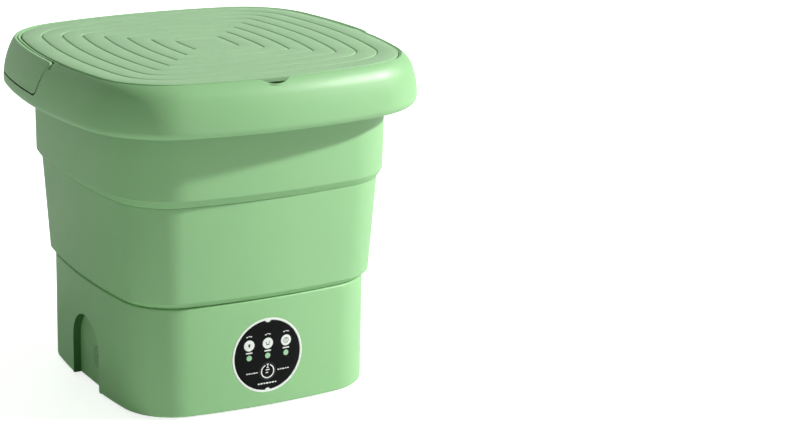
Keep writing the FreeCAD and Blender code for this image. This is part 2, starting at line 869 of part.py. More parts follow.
def make_panel_marks():
    """The white printed marks: three round mode signs and the short bars beside them."""
    signs = [panel_rod(ICON_RADIUS, across, up) for across, up in ICON_PLACES]
    bars = [panel_bar(5, 1.1, across, 16.6) for across, _ in ICON_PLACES]
    bars += [panel_bar(4.4, 0.8, across, 3.6) for across, _ in ICON_PLACES]
    bars += [panel_bar(9, 1.1, sign * 13.4, -number("button_drop")) for sign in (-1, 1)]
    bars.append(panel_bar(9, 1.1, 0, -22.4))
    return keep("panel_marks", common(front_skin(0, 0.12), fuse(*signs, *bars)))


def make_led_lenses():
    """Three light pipes that show through the window."""
    pipes = [panel_rod(LENS_RADIUS, across, up) for across, up in LENS_PLACES]
    return keep("led_lenses", common(front_skin(-5.5, 0.1), fuse(*pipes)))


def make_panel_board():
    """The round display board inside the bezel's skirt, with its three lamps."""
    half = cell("base_half")
    height = cell("panel_z")
    keep("panel_board", cylinder(cell("window_radius") - 0.3, 1.6, (0, -half + 7.5, height), "y"))
    lamps = [
        block((3, 1.5, 3), (across - 1.5, -half + 6, height + (up - 1.5))) for across, up in LENS_PLACES
    ]
    keep("panel_lamps", fuse(*lamps))
    low = height - number("button_drop") - SWITCH_SIDE / 2
    case = block((SWITCH_SIDE, 3, SWITCH_SIDE), (-SWITCH_SIDE / 2, -half + 4.5, low))
    stem = cylinder(1.7, 1, (0, -half + 3.5, height - number("button_drop")), "y")
    keep("power_switch", fuse(case, stem))


def make_power_button():
    """The round power button with its printed power sign."""
    height = cell("panel_z") - number("button_drop")
    disc = common(front_skin(-1.4, 0.05), panel_rod(cell("button_radius"), 0, -number("button_drop")))
    stem = cylinder(2, 1.4, (0, -cell("base_half") + 1.2, height), "y")
    keep("power_button", fuse(disc, stem))
    ring = cut(
        panel_rod(5.6, 0, -number("button_drop")),
        panel_rod(4.7, 0, -number("button_drop")),
        panel_bar(2.4, 6, 0, 5 - number("button_drop")),
    )
    bar = panel_bar(0.9, 4.2, 0, 3.4 - number("button_drop"))
    keep("power_sign", common(front_skin(0.05, 0.17), fuse(ring, bar)))


# ---------------------------------------------------------------- drain


def drain_bend(radius, level):
    """The quarter bend of the drain, from the niche wall's direction to straight up."""
    start_x = DRAIN_X - DRAIN_BEND
    start = Vector(start_x, number("drain_y"), level)
    mouth = Part.Face(Part.Wire(Part.makeCircle(radius, start, X_AXIS)))
    return fixed(mouth.revolve(start + Z_AXIS * DRAIN_BEND, Y_AXIS, -90))


def drain_path(radius, level, first_x, top):
    """A solid along the drain's whole path: straight in, round the bend and straight up."""
    start_x = DRAIN_X - DRAIN_BEND
    return [
        cylinder(radius, start_x - as_size(first_x), (first_x, cell("drain_y"), level), "x"),
        drain_bend(as_size(radius).number, level.number),
        cylinder(radius, top - level - DRAIN_BEND, (DRAIN_X, cell("drain_y"), level + DRAIN_BEND)),
    ]


def make_drain():
    """The elbow from the floor to the niche, its seal, and the pull-out plug."""
    outer = cell("drain_radius") + 2
    inner = cell("drain_radius")
    wall = cell("base_wall")
    back_x = cell("niche_depth") - cell("base_half")
    level = cell("drain_z")
    drain_y = cell("drain_y")
    floor_bottom = cell("floor_top") - cell("floor_plate")
    solid = fuse(
        *drain_path(outer, level, back_x + wall, floor_bottom - 1),
        cylinder(outer + 2.5, 2, (DRAIN_X, drain_y, floor_bottom - 3)),
    )
    hollow = fuse(*drain_path(inner, level, back_x + wall - 1, floor_bottom + 2))
    keep("drain_elbow", cut(solid, hollow))
    keep("drain_seal", tube(outer + 2, inner + 0.5, 1, (DRAIN_X, drain_y, floor_bottom - 1)))
    plug = fuse(
        cylinder(inner - 0.3, 6, (back_x, drain_y, level), "x"),
        cylinder(outer + 1, 1.5, (back_x - 1.8, drain_y, level), "x"),
        block((1.6, 9, 3), (back_x - 3.2, drain_y - 4.5, level - 1.5)),
        cylinder(inner - 1.5, 0.5, (back_x - 0.4, drain_y, level), "x"),
    )
    keep("drain_plug", plug)


# ---------------------------------------------------------------- folding rings


def make_rings():
    """The two telescoping rings and the flexible webs that join the stages."""
    wall = number("ring_wall")
    stages = (
        ("middle", middle_outline, "middle_bottom", "middle_top", "middle_flare"),
        ("upper", upper_outline, "upper_bottom", "upper_top", "upper_flare"),
    )
    for name, outline, low, high, flare in stages:
        bottom = number(low)
        top = number(high)
        half = outline.half
        wide = half + number(flare)
        ring = outline.ring(polygon([
            (half - wall, bottom), (half, bottom), (wide, top), (wide - wall, top),
        ]))
        keep(f"{name}_ring", fixed(ring))


def web_between(lower, lower_half, lower_top, upper, upper_half, upper_bottom, wall):
    """A thin cone of flexible wall from the top of one stage to the bottom of the next."""
    outer = Part.makeLoft([
        lower.face(lower_half, lower_top).OuterWire,
        upper.face(upper_half, upper_bottom).OuterWire,
    ], True, True)
    inner = Part.makeLoft([
        lower.face(lower_half - wall, lower_top).OuterWire,
        upper.face(upper_half - wall, upper_bottom).OuterWire,
    ], True, True)
    return outer.cut(inner)


def make_webs():
    """The two flexible webs, each held by the ring above it."""
    gap = 0.1
    wall = 1.0
    keep("lower_web", fixed(web_between(
        base_outline, base_outline.half - BASE_EDGE, number("base_top") + gap,
        middle_outline, middle_outline.half, number("middle_bottom"), wall,
    )))
    keep("upper_web", fixed(web_between(
        middle_outline, middle_outline.half + number("middle_flare"), number("middle_top") + gap,
        upper_outline, upper_outline.half, number("upper_bottom"), wall,
    )))


# ---------------------------------------------------------------- collar

EQUATOR = (number("collar_half"), number("collar_bottom") + number("hem_radius"))
HEM_CENTRE = (EQUATOR[0] - number("hem_radius"), EQUATOR[1])
DOME_CENTRE = (EQUATOR[0] - number("dome_radius"), EQUATOR[1])
SHOULDER_CENTRE = on_circle(
    DOME_CENTRE, number("dome_radius") - number("shoulder_radius"), number("shoulder_start")
)
RIM_OUTSIDE = number("rebate_half") + number("rebate_wall")
POCKET_RADIUS = number("dome_radius") - number("handle_wall") - number("handle_gap")
LEDGE_BOTTOM = number("ledge_top") - 2.3
REACH = 160


def turn_at_height(centre, radius, height):
    """The angle at which a profile circle reaches a height."""
    return math.degrees(math.asin((height - centre[1]) / radius))


def turn_at_width(centre, radius, width):
    """The angle at which a profile circle reaches a distance from the axis."""
    return math.degrees(math.acos((width - centre[0]) / radius))


def outer_dome_edges():
    """The dome's outer line from the hem to the lid's rebate."""
    hem = number("hem_radius")
    dome = number("dome_radius")
    shoulder = number("shoulder_radius")
    start = number("shoulder_start")
    end = number("shoulder_end")
    rim = on_circle(SHOULDER_CENTRE, shoulder, end)
    corner = (number("rebate_half"), rim[1] - 0.4)
    edges = [
        bow(HEM_CENTRE, hem, -90, 0),
        bow(DOME_CENTRE, dome, 0, start),
        bow(SHOULDER_CENTRE, shoulder, start, end),
        line(rim, corner),
    ]
    return edges, corner


def skin_profile():
    """The thin wall of the collar, from the hem to the lid's rebate and down its wall."""
    wall = number("collar_wall")
    hem = number("hem_radius")
    dome = number("dome_radius") - wall
    shoulder = number("shoulder_radius") - wall
    start = number("shoulder_start")
    edges, corner = outer_dome_edges()
    meeting_turn = turn_at_width(SHOULDER_CENTRE, shoulder, RIM_OUTSIDE)
    meeting = on_circle(SHOULDER_CENTRE, shoulder, meeting_turn)
    low_inner = (corner[0], LEDGE_BOTTOM)
    low_outer = (RIM_OUTSIDE, LEDGE_BOTTOM)
    edges += [
        line(corner, low_inner),
        line(low_inner, low_outer),
        line(low_outer, meeting),
        bow(SHOULDER_CENTRE, shoulder, meeting_turn, start),
        bow(DOME_CENTRE, dome, start, 0),
        bow(HEM_CENTRE, hem - wall, 0, -90),
        line(on_circle(HEM_CENTRE, hem - wall, -90), on_circle(HEM_CENTRE, hem, -90)),
    ]
    return Part.Face(Part.Wire(edges))


def thick_profile():
    """The deep wall that the handle's pocket is cut into."""
    back = POCKET_RADIUS - number("rebate_wall")
    floor = number("handle_low") - number("handle_gap") - number("rebate_wall")
    dome = number("dome_radius")
    shoulder = number("shoulder_radius")
    start = number("shoulder_start")
    _, corner = outer_dome_edges()
    rim = on_circle(SHOULDER_CENTRE, shoulder, number("shoulder_end"))
    outer_turn = turn_at_height(DOME_CENTRE, dome, floor)
    back_low_turn = turn_at_height(DOME_CENTRE, back, floor)
    back_high_turn = turn_at_width(DOME_CENTRE, back, corner[0])
    back_high = on_circle(DOME_CENTRE, back, back_high_turn)
    return Part.Face(Part.Wire([
        bow(DOME_CENTRE, dome, outer_turn, start),
        bow(SHOULDER_CENTRE, shoulder, start, number("shoulder_end")),
        line(rim, corner),
        line(corner, back_high),
        bow(DOME_CENTRE, back, back_high_turn, back_low_turn),
        line(on_circle(DOME_CENTRE, back, back_low_turn), on_circle(DOME_CENTRE, dome, outer_turn)),
    ]))


def pocket_profile():
    """Everything outside the floor of the handle's pocket."""
    floor = number("handle_low") - number("handle_gap")
    low_turn = turn_at_height(DOME_CENTRE, POCKET_RADIUS, floor)
    high_turn = turn_at_width(DOME_CENTRE, POCKET_RADIUS, RIM_OUTSIDE)
    low = on_circle(DOME_CENTRE, POCKET_RADIUS, low_turn)
    high = on_circle(DOME_CENTRE, POCKET_RADIUS, high_turn)
    ceiling = number("handle_high") + 10
    return Part.Face(Part.Wire([
        bow(DOME_CENTRE, POCKET_RADIUS, low_turn, high_turn),
        line(high, (RIM_OUTSIDE, ceiling)),
        line((RIM_OUTSIDE, ceiling), (REACH, ceiling)),
        line((REACH, ceiling), (REACH, floor)),
        line((REACH, floor), low),
    ]))


def hollow_profile():
    """The hollow between the lid's rebate wall and the collar's skin, where the ears swing."""
    wall = number("collar_wall")
    dome = number("dome_radius") - wall
    shoulder = number("shoulder_radius") - wall
    start = number("shoulder_start")
    floor = number("handle_low")
    inside = RIM_OUTSIDE + 3
    low_turn = turn_at_height(DOME_CENTRE, dome, floor)
    high_turn = turn_at_width(SHOULDER_CENTRE, shoulder, inside)
    low = on_circle(DOME_CENTRE, dome, low_turn)
    high = on_circle(SHOULDER_CENTRE, shoulder, high_turn)
    return Part.Face(Part.Wire([
        bow(DOME_CENTRE, dome, low_turn, start),
        bow(SHOULDER_CENTRE, shoulder, start, high_turn),
        line(high, (inside, floor)),
        line((inside, floor), low),
    ]))


def handle_side_view(margin, top_margin):
    """The side view of the handle, grown by a margin: its slanted front end, its rounded lower
    front corner and everything behind them."""
    low = number("handle_low") - margin
    high = number("handle_high")
    foot_y = number("handle_foot_y") - margin
    top_y = number("handle_top_y") - top_margin
    above = high + 10
    slope = (top_y - foot_y) / (high - low)
    outline = [
        (foot_y, low), (REACH, low), (REACH, above), (top_y + slope * (above - high), above),
    ]
    radius = number("handle_foot_radius") + margin
    return prism_x(outline, REACH, (foot_y, low), radius)


def pivot_rod(radius, first_x, last_x):
    """A rod on each side of the collar on the handle's pivot axis."""
    length = last_x - first_x
    place_y = number("pivot_y")
    place_z = number("pivot_z")
    right = Part.makeCylinder(radius, length, Vector(first_x, place_y, place_z), X_AXIS)
    left = Part.makeCylinder(radius, length, Vector(-last_x, place_y, place_z), X_AXIS)
    return right, left


NOTCH_X = -9
NOTCH_HALF = 14
NOTCH_REACH = 6
NOTCH_FLOOR = 257.6
PIN_INNER_X = 122
PIN_OUTER_X = 136.3
BOSS_RADIUS = number("pin_radius") + 2
SLEEVE_INSIDE = upper_outline.half + number("upper_flare") + number("sleeve_gap")
SLEEVE_OUTSIDE = SLEEVE_INSIDE + 1.6


def add_finger_notch(shape):
    """The crescent scoop at the front of the rim, with a floor under it."""
    radius = (NOTCH_HALF ** 2 + NOTCH_REACH ** 2) / (2 * NOTCH_REACH)
    rebate = number("rebate_half")
    centre = Vector(NOTCH_X, radius - rebate - NOTCH_REACH, LEDGE_BOTTOM)
    patch = Part.makeCylinder(radius + 2, NOTCH_FLOOR - LEDGE_BOTTOM, centre)
    patch = patch.cut(collar_outline.slab(rebate, LEDGE_BOTTOM - 1, NOTCH_FLOOR + 1))
    patch = patch.common(collar_outline.slab(rebate + 7, LEDGE_BOTTOM - 1, NOTCH_FLOOR + 1))
    scoop = Part.makeCylinder(radius, 20, Vector(centre.x, centre.y, NOTCH_FLOOR))
    return shape.fuse(patch).cut(scoop)


def make_collar():
    """The domed rim: outer skin, the lid's rebate, the pin bosses and the pocket for the handle."""
    skin = collar_outline.ring(skin_profile())
    deep = collar_outline.ring(thick_profile())
    wall = number("rebate_wall")
    gap = number("handle_gap")
    grown = handle_side_view(gap + wall, gap * 2 + wall)
    pocket = collar_outline.ring(pocket_profile()).common(handle_side_view(gap, gap * 2))
    shell = skin.fuse(deep.common(grown)).cut(pocket)
    swing = pivot_rod(number("swing_radius"), RIM_OUTSIDE - 0.7, RIM_OUTSIDE + 5)
    deep_swing = pivot_rod(number("swing_radius"), RIM_OUTSIDE + 2, RIM_OUTSIDE + 12)
    hollow = collar_outline.ring(hollow_profile())
    swing += tuple(rod.common(hollow) for rod in deep_swing)
    swing += pivot_rod(number("ear_reach"), RIM_OUTSIDE + 3, RIM_OUTSIDE + 7.6)
    bosses = pivot_rod(BOSS_RADIUS, SLEEVE_OUTSIDE + 0.1, RIM_OUTSIDE + 0.05)
    bores = pivot_rod(number("pin_radius"), PIN_INNER_X, RIM_OUTSIDE + 1)
    for rod in swing:
        shell = shell.cut(rod)
    shape = add_finger_notch(shell.fuse([*bosses])).cut(bores[0]).cut(bores[1])
    return keep("collar", fixed(shape.removeSplitter()))


def make_inner_frame():
    """The flat ledge that the lid rests on and the sleeve that guides the upper ring, two
    mouldings pressed into the dome with a hair's gap between them."""
    fit = 0.05
    ledge_top = number("ledge_top")
    ledge = collar_outline.slab(number("rebate_half") - fit, LEDGE_BOTTOM, ledge_top)
    ledge = ledge.cut(upper_outline.slab(SLEEVE_OUTSIDE + fit, LEDGE_BOTTOM - 1, ledge_top + 1))
    for rod in pivot_rod(BOSS_RADIUS + 0.1, SLEEVE_OUTSIDE - 1, RIM_OUTSIDE):
        ledge = ledge.cut(rod)
    keep("lid_ledge", fixed(ledge))
    low = number("sleeve_bottom")
    keep("guide_sleeve", fixed(upper_outline.ring(polygon([
        (SLEEVE_INSIDE, low), (SLEEVE_OUTSIDE, low),
        (SLEEVE_OUTSIDE, ledge_top), (SLEEVE_INSIDE, ledge_top),
    ]))))


def make_handle():
    """The bail that lies flush round the back half of the collar, with an ear at each end."""
    outer = number("dome_radius")
    inner = outer - number("handle_wall")
    low = number("handle_low") - 2
    high = number("handle_high")
    lip = 1.6
    lip_turn = turn_at_height(DOME_CENTRE, outer, high - lip)
    lip_start = on_circle(DOME_CENTRE, outer, lip_turn)
    lip_end = (lip_start[0] - lip, high)
    inside = RIM_OUTSIDE + number("handle_gap")
    inner_turn = turn_at_width(DOME_CENTRE, inner, inside)
    low_outer_turn = turn_at_height(DOME_CENTRE, outer, low)
    low_inner_turn = turn_at_height(DOME_CENTRE, inner, low)
    low_outer = on_circle(DOME_CENTRE, outer, low_outer_turn)
    low_inner = on_circle(DOME_CENTRE, inner, low_inner_turn)
    profile = Part.Face(Part.Wire([
        bow(DOME_CENTRE, outer, low_outer_turn, lip_turn),
        line(lip_start, lip_end),
        line(lip_end, (inside, high)),
        line((inside, high), on_circle(DOME_CENTRE, inner, inner_turn)),
        bow(DOME_CENTRE, inner, inner_turn, low_inner_turn),
        line(low_inner, low_outer),
    ]))
    band = collar_outline.ring(profile).common(handle_side_view(0, 0))
    bosses = pivot_rod(number("ear_radius"), inside, PIN_OUTER_X - 0.2)
    bores = pivot_rod(number("pin_radius") + number("running_gap"), inside - 1, PIN_OUTER_X + 0.3)
    shape = band.fuse([*bosses]).cut(bores[0]).cut(bores[1])
    return keep("handle", fixed(shape.removeSplitter()))


def make_handle_pins():
    """The two steel pins that the handle turns on, fixed in the collar's bosses."""
    length = PIN_OUTER_X - PIN_INNER_X
    pins = [
        cylinder(cell("pin_radius"), length, (first_x, cell("pivot_y"), cell("pivot_z")), "x")
        for first_x in (PIN_INNER_X, -PIN_OUTER_X)
    ]
    return keep("handle_pins", fuse(*pins))


# ---------------------------------------------------------------- lid


def groove_tool(inset, depth, width, top):
    """One V-shaped groove round the lid, at an inset from its edge. Where the inset is more than
    the corner radius the corners are mitred."""
    half = number("rebate_half") - number("lid_gap") - inset
    root = top - depth
    profile = polygon([
        (half - width / 2, top), (half - 0.25, root), (half + 0.25, root), (half + width / 2, top),
    ])
    radius = collar_outline.corner_radius + half - collar_outline.half
    if radius > width:
        return collar_outline.ring(profile)
    sides = []
    side_radius = collar_outline.side_radius
    wedge = Part.Face(Part.makePolygon([
        ORIGIN, Vector(REACH, -REACH, 0), Vector(REACH, REACH, 0), ORIGIN,
    ])).extrude(Z_AXIS * 2 * REACH)
    for quarter in range(4):
        side = profile.copy()
        side.translate(Vector(side_radius - collar_outline.half, 0, 0))
        side = side.revolve(ORIGIN, Z_AXIS, 2 * collar_outline.side_turn + 4)
        side.rotate(ORIGIN, Z_AXIS, -collar_outline.side_turn - 2)
        side.translate(Vector(collar_outline.side_centre, 0, 0))
        side = side.common(wedge)
        side.rotate(ORIGIN, Z_AXIS, 90 * quarter)
        sides.append(side)
    return sides[0].multiFuse(sides[1:])


def make_lid():
    """The flat lid with its concentric grooves, and the soft gasket under its edge."""
    half = number("rebate_half") - number("lid_gap")
    top = number("lid_top")
    bottom = number("lid_bottom")
    plate = collar_outline.slab(half, bottom, top)
    rounding = collar_outline.ring(polygon([(half - 0.8, top), (half, top - 0.8), (half + 1, top + 1)]))
    plate = plate.cut(rounding)
    for index in range(int(number("groove_count"))):
        inset = (index + 1) * number("groove_pitch")
        plate = plate.cut(groove_tool(inset, number("groove_depth"), number("groove_width"), top))
    keep("lid", fixed(plate))
    seat = number("ledge_top")
    inner = half - 6.3
    outer = half - 2
    gasket = collar_outline.ring(polygon([
        (inner, seat), (outer, seat), (outer, bottom), (inner, bottom),
    ]))
    keep("lid_gasket", fixed(gasket))


# ---------------------------------------------------------------- build, check and write

make_base_shell()
make_tub_floor()
make_bottom_cover()
make_feet()
make_cover_screws()
make_gearbox_plate()
make_gearbox_housing()
make_gearbox_screws()
make_motor_can()
make_motor_end_cap()
make_motor_terminals()
make_motor_magnets()
make_motor_screws()
make_motor_shaft()
make_motor_armature()
make_motor_pinion()
make_output_gear()
make_output_shaft()
make_bushes()
make_shaft_seal()
make_impeller()
make_impeller_screw()
make_impeller_cap()
make_main_board()
make_board_components()
make_board_screws()
make_dc_jack()
make_panel_ring()
make_panel_window()
make_panel_marks()
make_led_lenses()
make_panel_board()
make_power_button()
make_drain()
make_rings()
make_webs()
make_collar()
make_inner_frame()
make_handle_pins()
make_handle()
make_lid()

doc.recompute()
for thing in doc.Objects:
    if "Invalid" in thing.State or "Error" in thing.State:
        raise RuntimeError(f"{thing.Label} failed: {thing.State}")
for thing in nodes:
    shape = thing.Shape
    if shape.isNull() or not shape.isValid() or shape.Volume <= 0:
        raise RuntimeError(f"{thing.Label} has no valid solid")
for thing in nodes:
    thing.Shape.exportStep(f"parts/{thing.Label}.step")
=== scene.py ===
import json
import math

import bmesh
import bpy
from mathutils import Matrix, Vector
from mathutils.bvhtree import BVHTree
from mathutils.interpolate import poly_3d_calc


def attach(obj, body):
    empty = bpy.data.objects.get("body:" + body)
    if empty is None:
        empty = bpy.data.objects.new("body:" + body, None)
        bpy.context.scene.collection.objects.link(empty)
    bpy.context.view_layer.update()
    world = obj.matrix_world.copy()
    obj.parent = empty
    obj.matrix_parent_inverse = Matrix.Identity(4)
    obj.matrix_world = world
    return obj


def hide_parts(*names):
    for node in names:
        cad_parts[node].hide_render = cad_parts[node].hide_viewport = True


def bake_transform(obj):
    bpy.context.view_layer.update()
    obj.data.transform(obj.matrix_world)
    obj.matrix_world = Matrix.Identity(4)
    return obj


# The visible surfaces of a folding mini washer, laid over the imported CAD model. Lengths inside the
# helpers are millimetres and become metres when a mesh is made. Profiles are given as (u, z), where
# u is the half width of the outline at the height z.

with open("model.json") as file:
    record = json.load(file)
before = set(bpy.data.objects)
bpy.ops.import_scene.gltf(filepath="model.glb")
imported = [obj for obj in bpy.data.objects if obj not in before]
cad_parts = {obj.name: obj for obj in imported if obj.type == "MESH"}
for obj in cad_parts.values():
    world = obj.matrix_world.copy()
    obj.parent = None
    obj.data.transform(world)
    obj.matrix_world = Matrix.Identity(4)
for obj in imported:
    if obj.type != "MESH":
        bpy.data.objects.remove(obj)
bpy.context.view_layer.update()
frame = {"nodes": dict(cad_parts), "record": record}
nodes = frame["nodes"]
MM = 0.001


# ---------------------------------------------------------------- materials


def new_material(name):
    """An empty node material with its Principled shader."""
    material = bpy.data.materials.new(name)
    material.use_nodes = True
    tree = material.node_tree
    tree.nodes.clear()
    output = tree.nodes.new("ShaderNodeOutputMaterial")
    shader = tree.nodes.new("ShaderNodeBsdfPrincipled")
    tree.links.new(shader.outputs[0], output.inputs[0])
    return material, tree, shader


def noise(tree, coordinates, scale, detail=3.0, rough=0.55):
    """A noise pattern over the object's own coordinates, with a scale in cells per metre."""
    node = tree.nodes.new("ShaderNodeTexNoise")
    node.inputs["Scale"].default_value = scale
    node.inputs["Detail"].default_value = detail
    node.inputs["Roughness"].default_value = rough
    tree.links.new(coordinates, node.inputs["Vector"])
    return node.outputs["Fac"]


def span(tree, value, low, high, first=0.3, last=0.7):
    """A value between first and last, stretched to run from low to high."""
    node = tree.nodes.new("ShaderNodeMapRange")
    node.inputs["From Min"].default_value = first
    node.inputs["From Max"].default_value = last
    node.inputs["To Min"].default_value = low
    node.inputs["To Max"].default_value = high
    tree.links.new(value, node.inputs["Value"])
    return node.outputs["Result"]


def tint(tree, value, first, last):
    """A colour that moves between two colours with a pattern."""
    node = tree.nodes.new("ShaderNodeMix")
    node.data_type = "RGBA"
    node.inputs[6].default_value = (*first, 1)
    node.inputs[7].default_value = (*last, 1)
    tree.links.new(value, node.inputs[0])
    return node.outputs[2]


def coordinates_of(tree, stretch):
    """The object's own coordinates, stretched along its axes."""
    source = tree.nodes.new("ShaderNodeTexCoord")
    mapping = tree.nodes.new("ShaderNodeMapping")
    mapping.inputs["Scale"].default_value = stretch
    tree.links.new(source.outputs["Object"], mapping.inputs["Vector"])
    return mapping.outputs["Vector"]


def relief(tree, pattern, strength, depth):
    """A bump node that reads a pattern as a relief this many millimetres deep."""
    bump = tree.nodes.new("ShaderNodeBump")
    bump.inputs["Strength"].default_value = strength
    bump.inputs["Distance"].default_value = depth * MM
    tree.links.new(pattern, bump.inputs["Height"])
    return bump


def shade(colour, factor):
    """A colour made darker or lighter."""
    return tuple(min(1.0, channel * factor) for channel in colour)


def surface(name, colour, rough, metal=0.0, grain=900, grain_depth=0.04, cloud=14, spread=0.06,
            stretch=(1, 1, 1), ior=1.45, swell=0.0, clear=0.0):
    """A moulded, cast or drawn surface: cloudy colour, uneven gloss and a fine relief."""
    material, tree, shader = new_material(name)
    place = coordinates_of(tree, stretch)
    clouds = noise(tree, place, cloud, 4.0)
    fine = noise(tree, place, grain, 2.0, 0.6)
    scuffs = noise(tree, place, cloud * 9, 5.0, 0.7)
    colour_out = tint(
        tree, span(tree, clouds, 0, 1), shade(colour, 1 - spread), shade(colour, 1 + spread)
    )
    tree.links.new(colour_out, shader.inputs["Base Color"])
    tree.links.new(span(tree, scuffs, rough[0], rough[1]), shader.inputs["Roughness"])
    shader.inputs["Metallic"].default_value = metal
    shader.inputs["IOR"].default_value = ior
    shader.inputs["Transmission Weight"].default_value = clear
    bump = relief(tree, fine, 0.6, grain_depth)
    if swell:
        broad = relief(tree, noise(tree, place, 22, 1.0), 0.5, swell)
        tree.links.new(broad.outputs["Normal"], bump.inputs["Normal"])
    tree.links.new(bump.outputs["Normal"], shader.inputs["Normal"])
    return material


GREEN = (0.288, 0.558, 0.258)
FINISHES = {
    "green_shell": dict(
        colour=GREEN, rough=(0.43, 0.5), grain=1500, grain_depth=0.012, spread=0.015, ior=1.6),
    "green_wall": dict(
        colour=GREEN, rough=(0.46, 0.54), grain=1300, grain_depth=0.02, spread=0.02, ior=1.6),
    # painted shade: a dark green for the niche's side walls, standing for the deep shade in the niche
    "niche_painted_shade": dict(colour=(0.045, 0.17, 0.04), rough=(0.5, 0.6), grain=1300, grain_depth=0.02),
    "green_lid": dict(
        colour=(0.34, 0.56, 0.315), rough=(0.5, 0.62), grain=820, grain_depth=0.07, spread=0.03,
        cloud=30),
    "soft_web": dict(
        colour=shade(GREEN, 0.96), rough=(0.5, 0.62), grain=1000, grain_depth=0.03, spread=0.03,
        swell=0.15),
    "green_plug": dict(colour=shade(GREEN, 0.85), rough=(0.4, 0.5), grain=1200, grain_depth=0.03),
    "grey_seal": dict(colour=(0.25, 0.26, 0.25), rough=(0.55, 0.7), grain=1500, grain_depth=0.04),
    "foot_rubber": dict(
        colour=(0.18, 0.185, 0.18), rough=(0.7, 0.85), grain=1600, grain_depth=0.06),
    "tub_plastic": dict(
        colour=(0.72, 0.77, 0.72), rough=(0.35, 0.45), grain=1100, grain_depth=0.02),
    "machine_plastic": dict(
        colour=(0.62, 0.66, 0.61), rough=(0.45, 0.6), grain=900, grain_depth=0.04),
    "gear_nylon": dict(colour=(0.8, 0.78, 0.7), rough=(0.35, 0.5), grain=1200, grain_depth=0.02),
    "steel": dict(
        colour=(0.62, 0.63, 0.64), rough=(0.22, 0.36), metal=1.0, grain=1400, grain_depth=0.02,
        stretch=(1, 1, 0.08)),
    "brass": dict(
        colour=(0.78, 0.58, 0.28), rough=(0.25, 0.4), metal=1.0, grain=1400, grain_depth=0.02),
    "magnet": dict(
        colour=(0.09, 0.09, 0.1), rough=(0.5, 0.65), metal=0.3, grain=1400, grain_depth=0.05),
    "board_green": dict(
        colour=(0.03, 0.19, 0.09), rough=(0.3, 0.42), grain=500, grain_depth=0.02, spread=0.2),
    "black_plastic": dict(
        colour=(0.025, 0.025, 0.028), rough=(0.42, 0.55), grain=1200, grain_depth=0.04, spread=0.2),
    "white_plastic": dict(
        colour=(0.86, 0.88, 0.85), rough=(0.32, 0.42), grain=1300, grain_depth=0.01, spread=0.02),
    "black_gloss": dict(
        colour=(0.004, 0.0038, 0.0048), rough=(0.16, 0.22), grain=400, grain_depth=0.001,
        spread=0.25, ior=1.2),
    "lamp": dict(
        colour=(0.42, 0.72, 0.45), rough=(0.18, 0.26), grain=1500, grain_depth=0.02, spread=0.1,
        cloud=400, clear=0.15),
    "ink_white": dict(
        colour=(0.82, 0.84, 0.82), rough=(0.4, 0.5), grain=2200, grain_depth=0.01, spread=0.05,
        cloud=500),
    "ink_dark": dict(colour=(0.03, 0.03, 0.035), rough=(0.4, 0.5), grain=2200, grain_depth=0.01),
    "floor": dict(
        colour=(0.9, 0.9, 0.9), rough=(0.6, 0.7), grain=300, grain_depth=0.02, spread=0.01, cloud=3),
}
MATERIALS = {name: surface(name, **finish) for name, finish in FINISHES.items()}

SLOT_OF = {part["node"]: part["material_slot"] for part in frame["record"]["subparts"]}


def finish_cad_nodes():
    """Every CAD node gets its slot's material, and round surfaces are shaded smooth."""
    for name, thing in nodes.items():
        thing.data.materials.clear()
        thing.data.materials.append(MATERIALS[SLOT_OF[name]])
        weld = thing.modifiers.new("weld", "WELD")
        weld.merge_threshold = 1e-6
        smooth_sides(thing.data, 32)


def smooth_sides(mesh, degrees):
    """Smooth shading, except across edges that turn more than this."""
    mesh.polygons.foreach_set("use_smooth", [True] * len(mesh.polygons))
    mesh.set_sharp_from_angle(angle=math.radians(degrees))


# ---------------------------------------------------------------- outlines and profiles

SIDE_STEPS = 26
CORNER_STEPS = 22


class Outline:
    """A rounded square with bowed sides: side arcs tangent to corner arcs, about fixed centres."""

    def __init__(self, half, corner, side):
        self.half = half
        self.corner = corner
        self.side = side
        self.side_centre = half - side
        reach = side - corner
        root = math.sqrt(8 * reach ** 2 - 4 * self.side_centre ** 2)
        self.corner_centre = (2 * self.side_centre + root) / 4
        self.turn = math.atan2(self.corner_centre, self.corner_centre - self.side_centre)

    def point(self, place, width):
        """The point at a place from 0 to 1 round the outline, on the parallel outline of that half
        width. Place 0 is the middle of the +X side. Where the corner arc has no radius left, it is
        mitred."""
        quarter, part = divmod((place % 1.0) * 4 + 0.5, 1.0)
        spin = Matrix.Rotation(math.radians(90 * (quarter % 4)), 2)
        share = SIDE_STEPS / (SIDE_STEPS + CORNER_STEPS)
        side_radius = self.side + width - self.half
        corner_radius = self.corner + width - self.half
        mitred = corner_radius <= 0
        limit = self.turn
        if mitred:
            away = self.side_centre
            limit = math.pi / 4 + math.asin(away / side_radius * math.sin(math.pi / 4))
        shifted = part - 0.5
        if mitred or abs(shifted) <= share / 2:
            angle = max(-limit, min(limit, shifted / (share / 2) * limit))
            return spin @ Vector((
                self.side_centre + side_radius * math.cos(angle), side_radius * math.sin(angle)
            ))
        sign = 1 if shifted > 0 else -1
        along = (abs(shifted) - share / 2) / (0.5 - share / 2)
        angle = sign * (self.turn + along * (math.pi / 4 - self.turn))
        return spin @ Vector((
            self.corner_centre + corner_radius * math.cos(angle),
            sign * self.corner_centre + corner_radius * math.sin(angle),
        ))

    def places(self):
        """The places of the sample points round the outline."""
        steps = 4 * (SIDE_STEPS + CORNER_STEPS)
        return [step / steps for step in range(steps)]


BASE = Outline(104.5, 44, 503)
MIDDLE = Outline(107.4, 40, 506)
UPPER = Outline(117.4, 53, 520)
COLLAR = Outline(142.8, 71, 405)


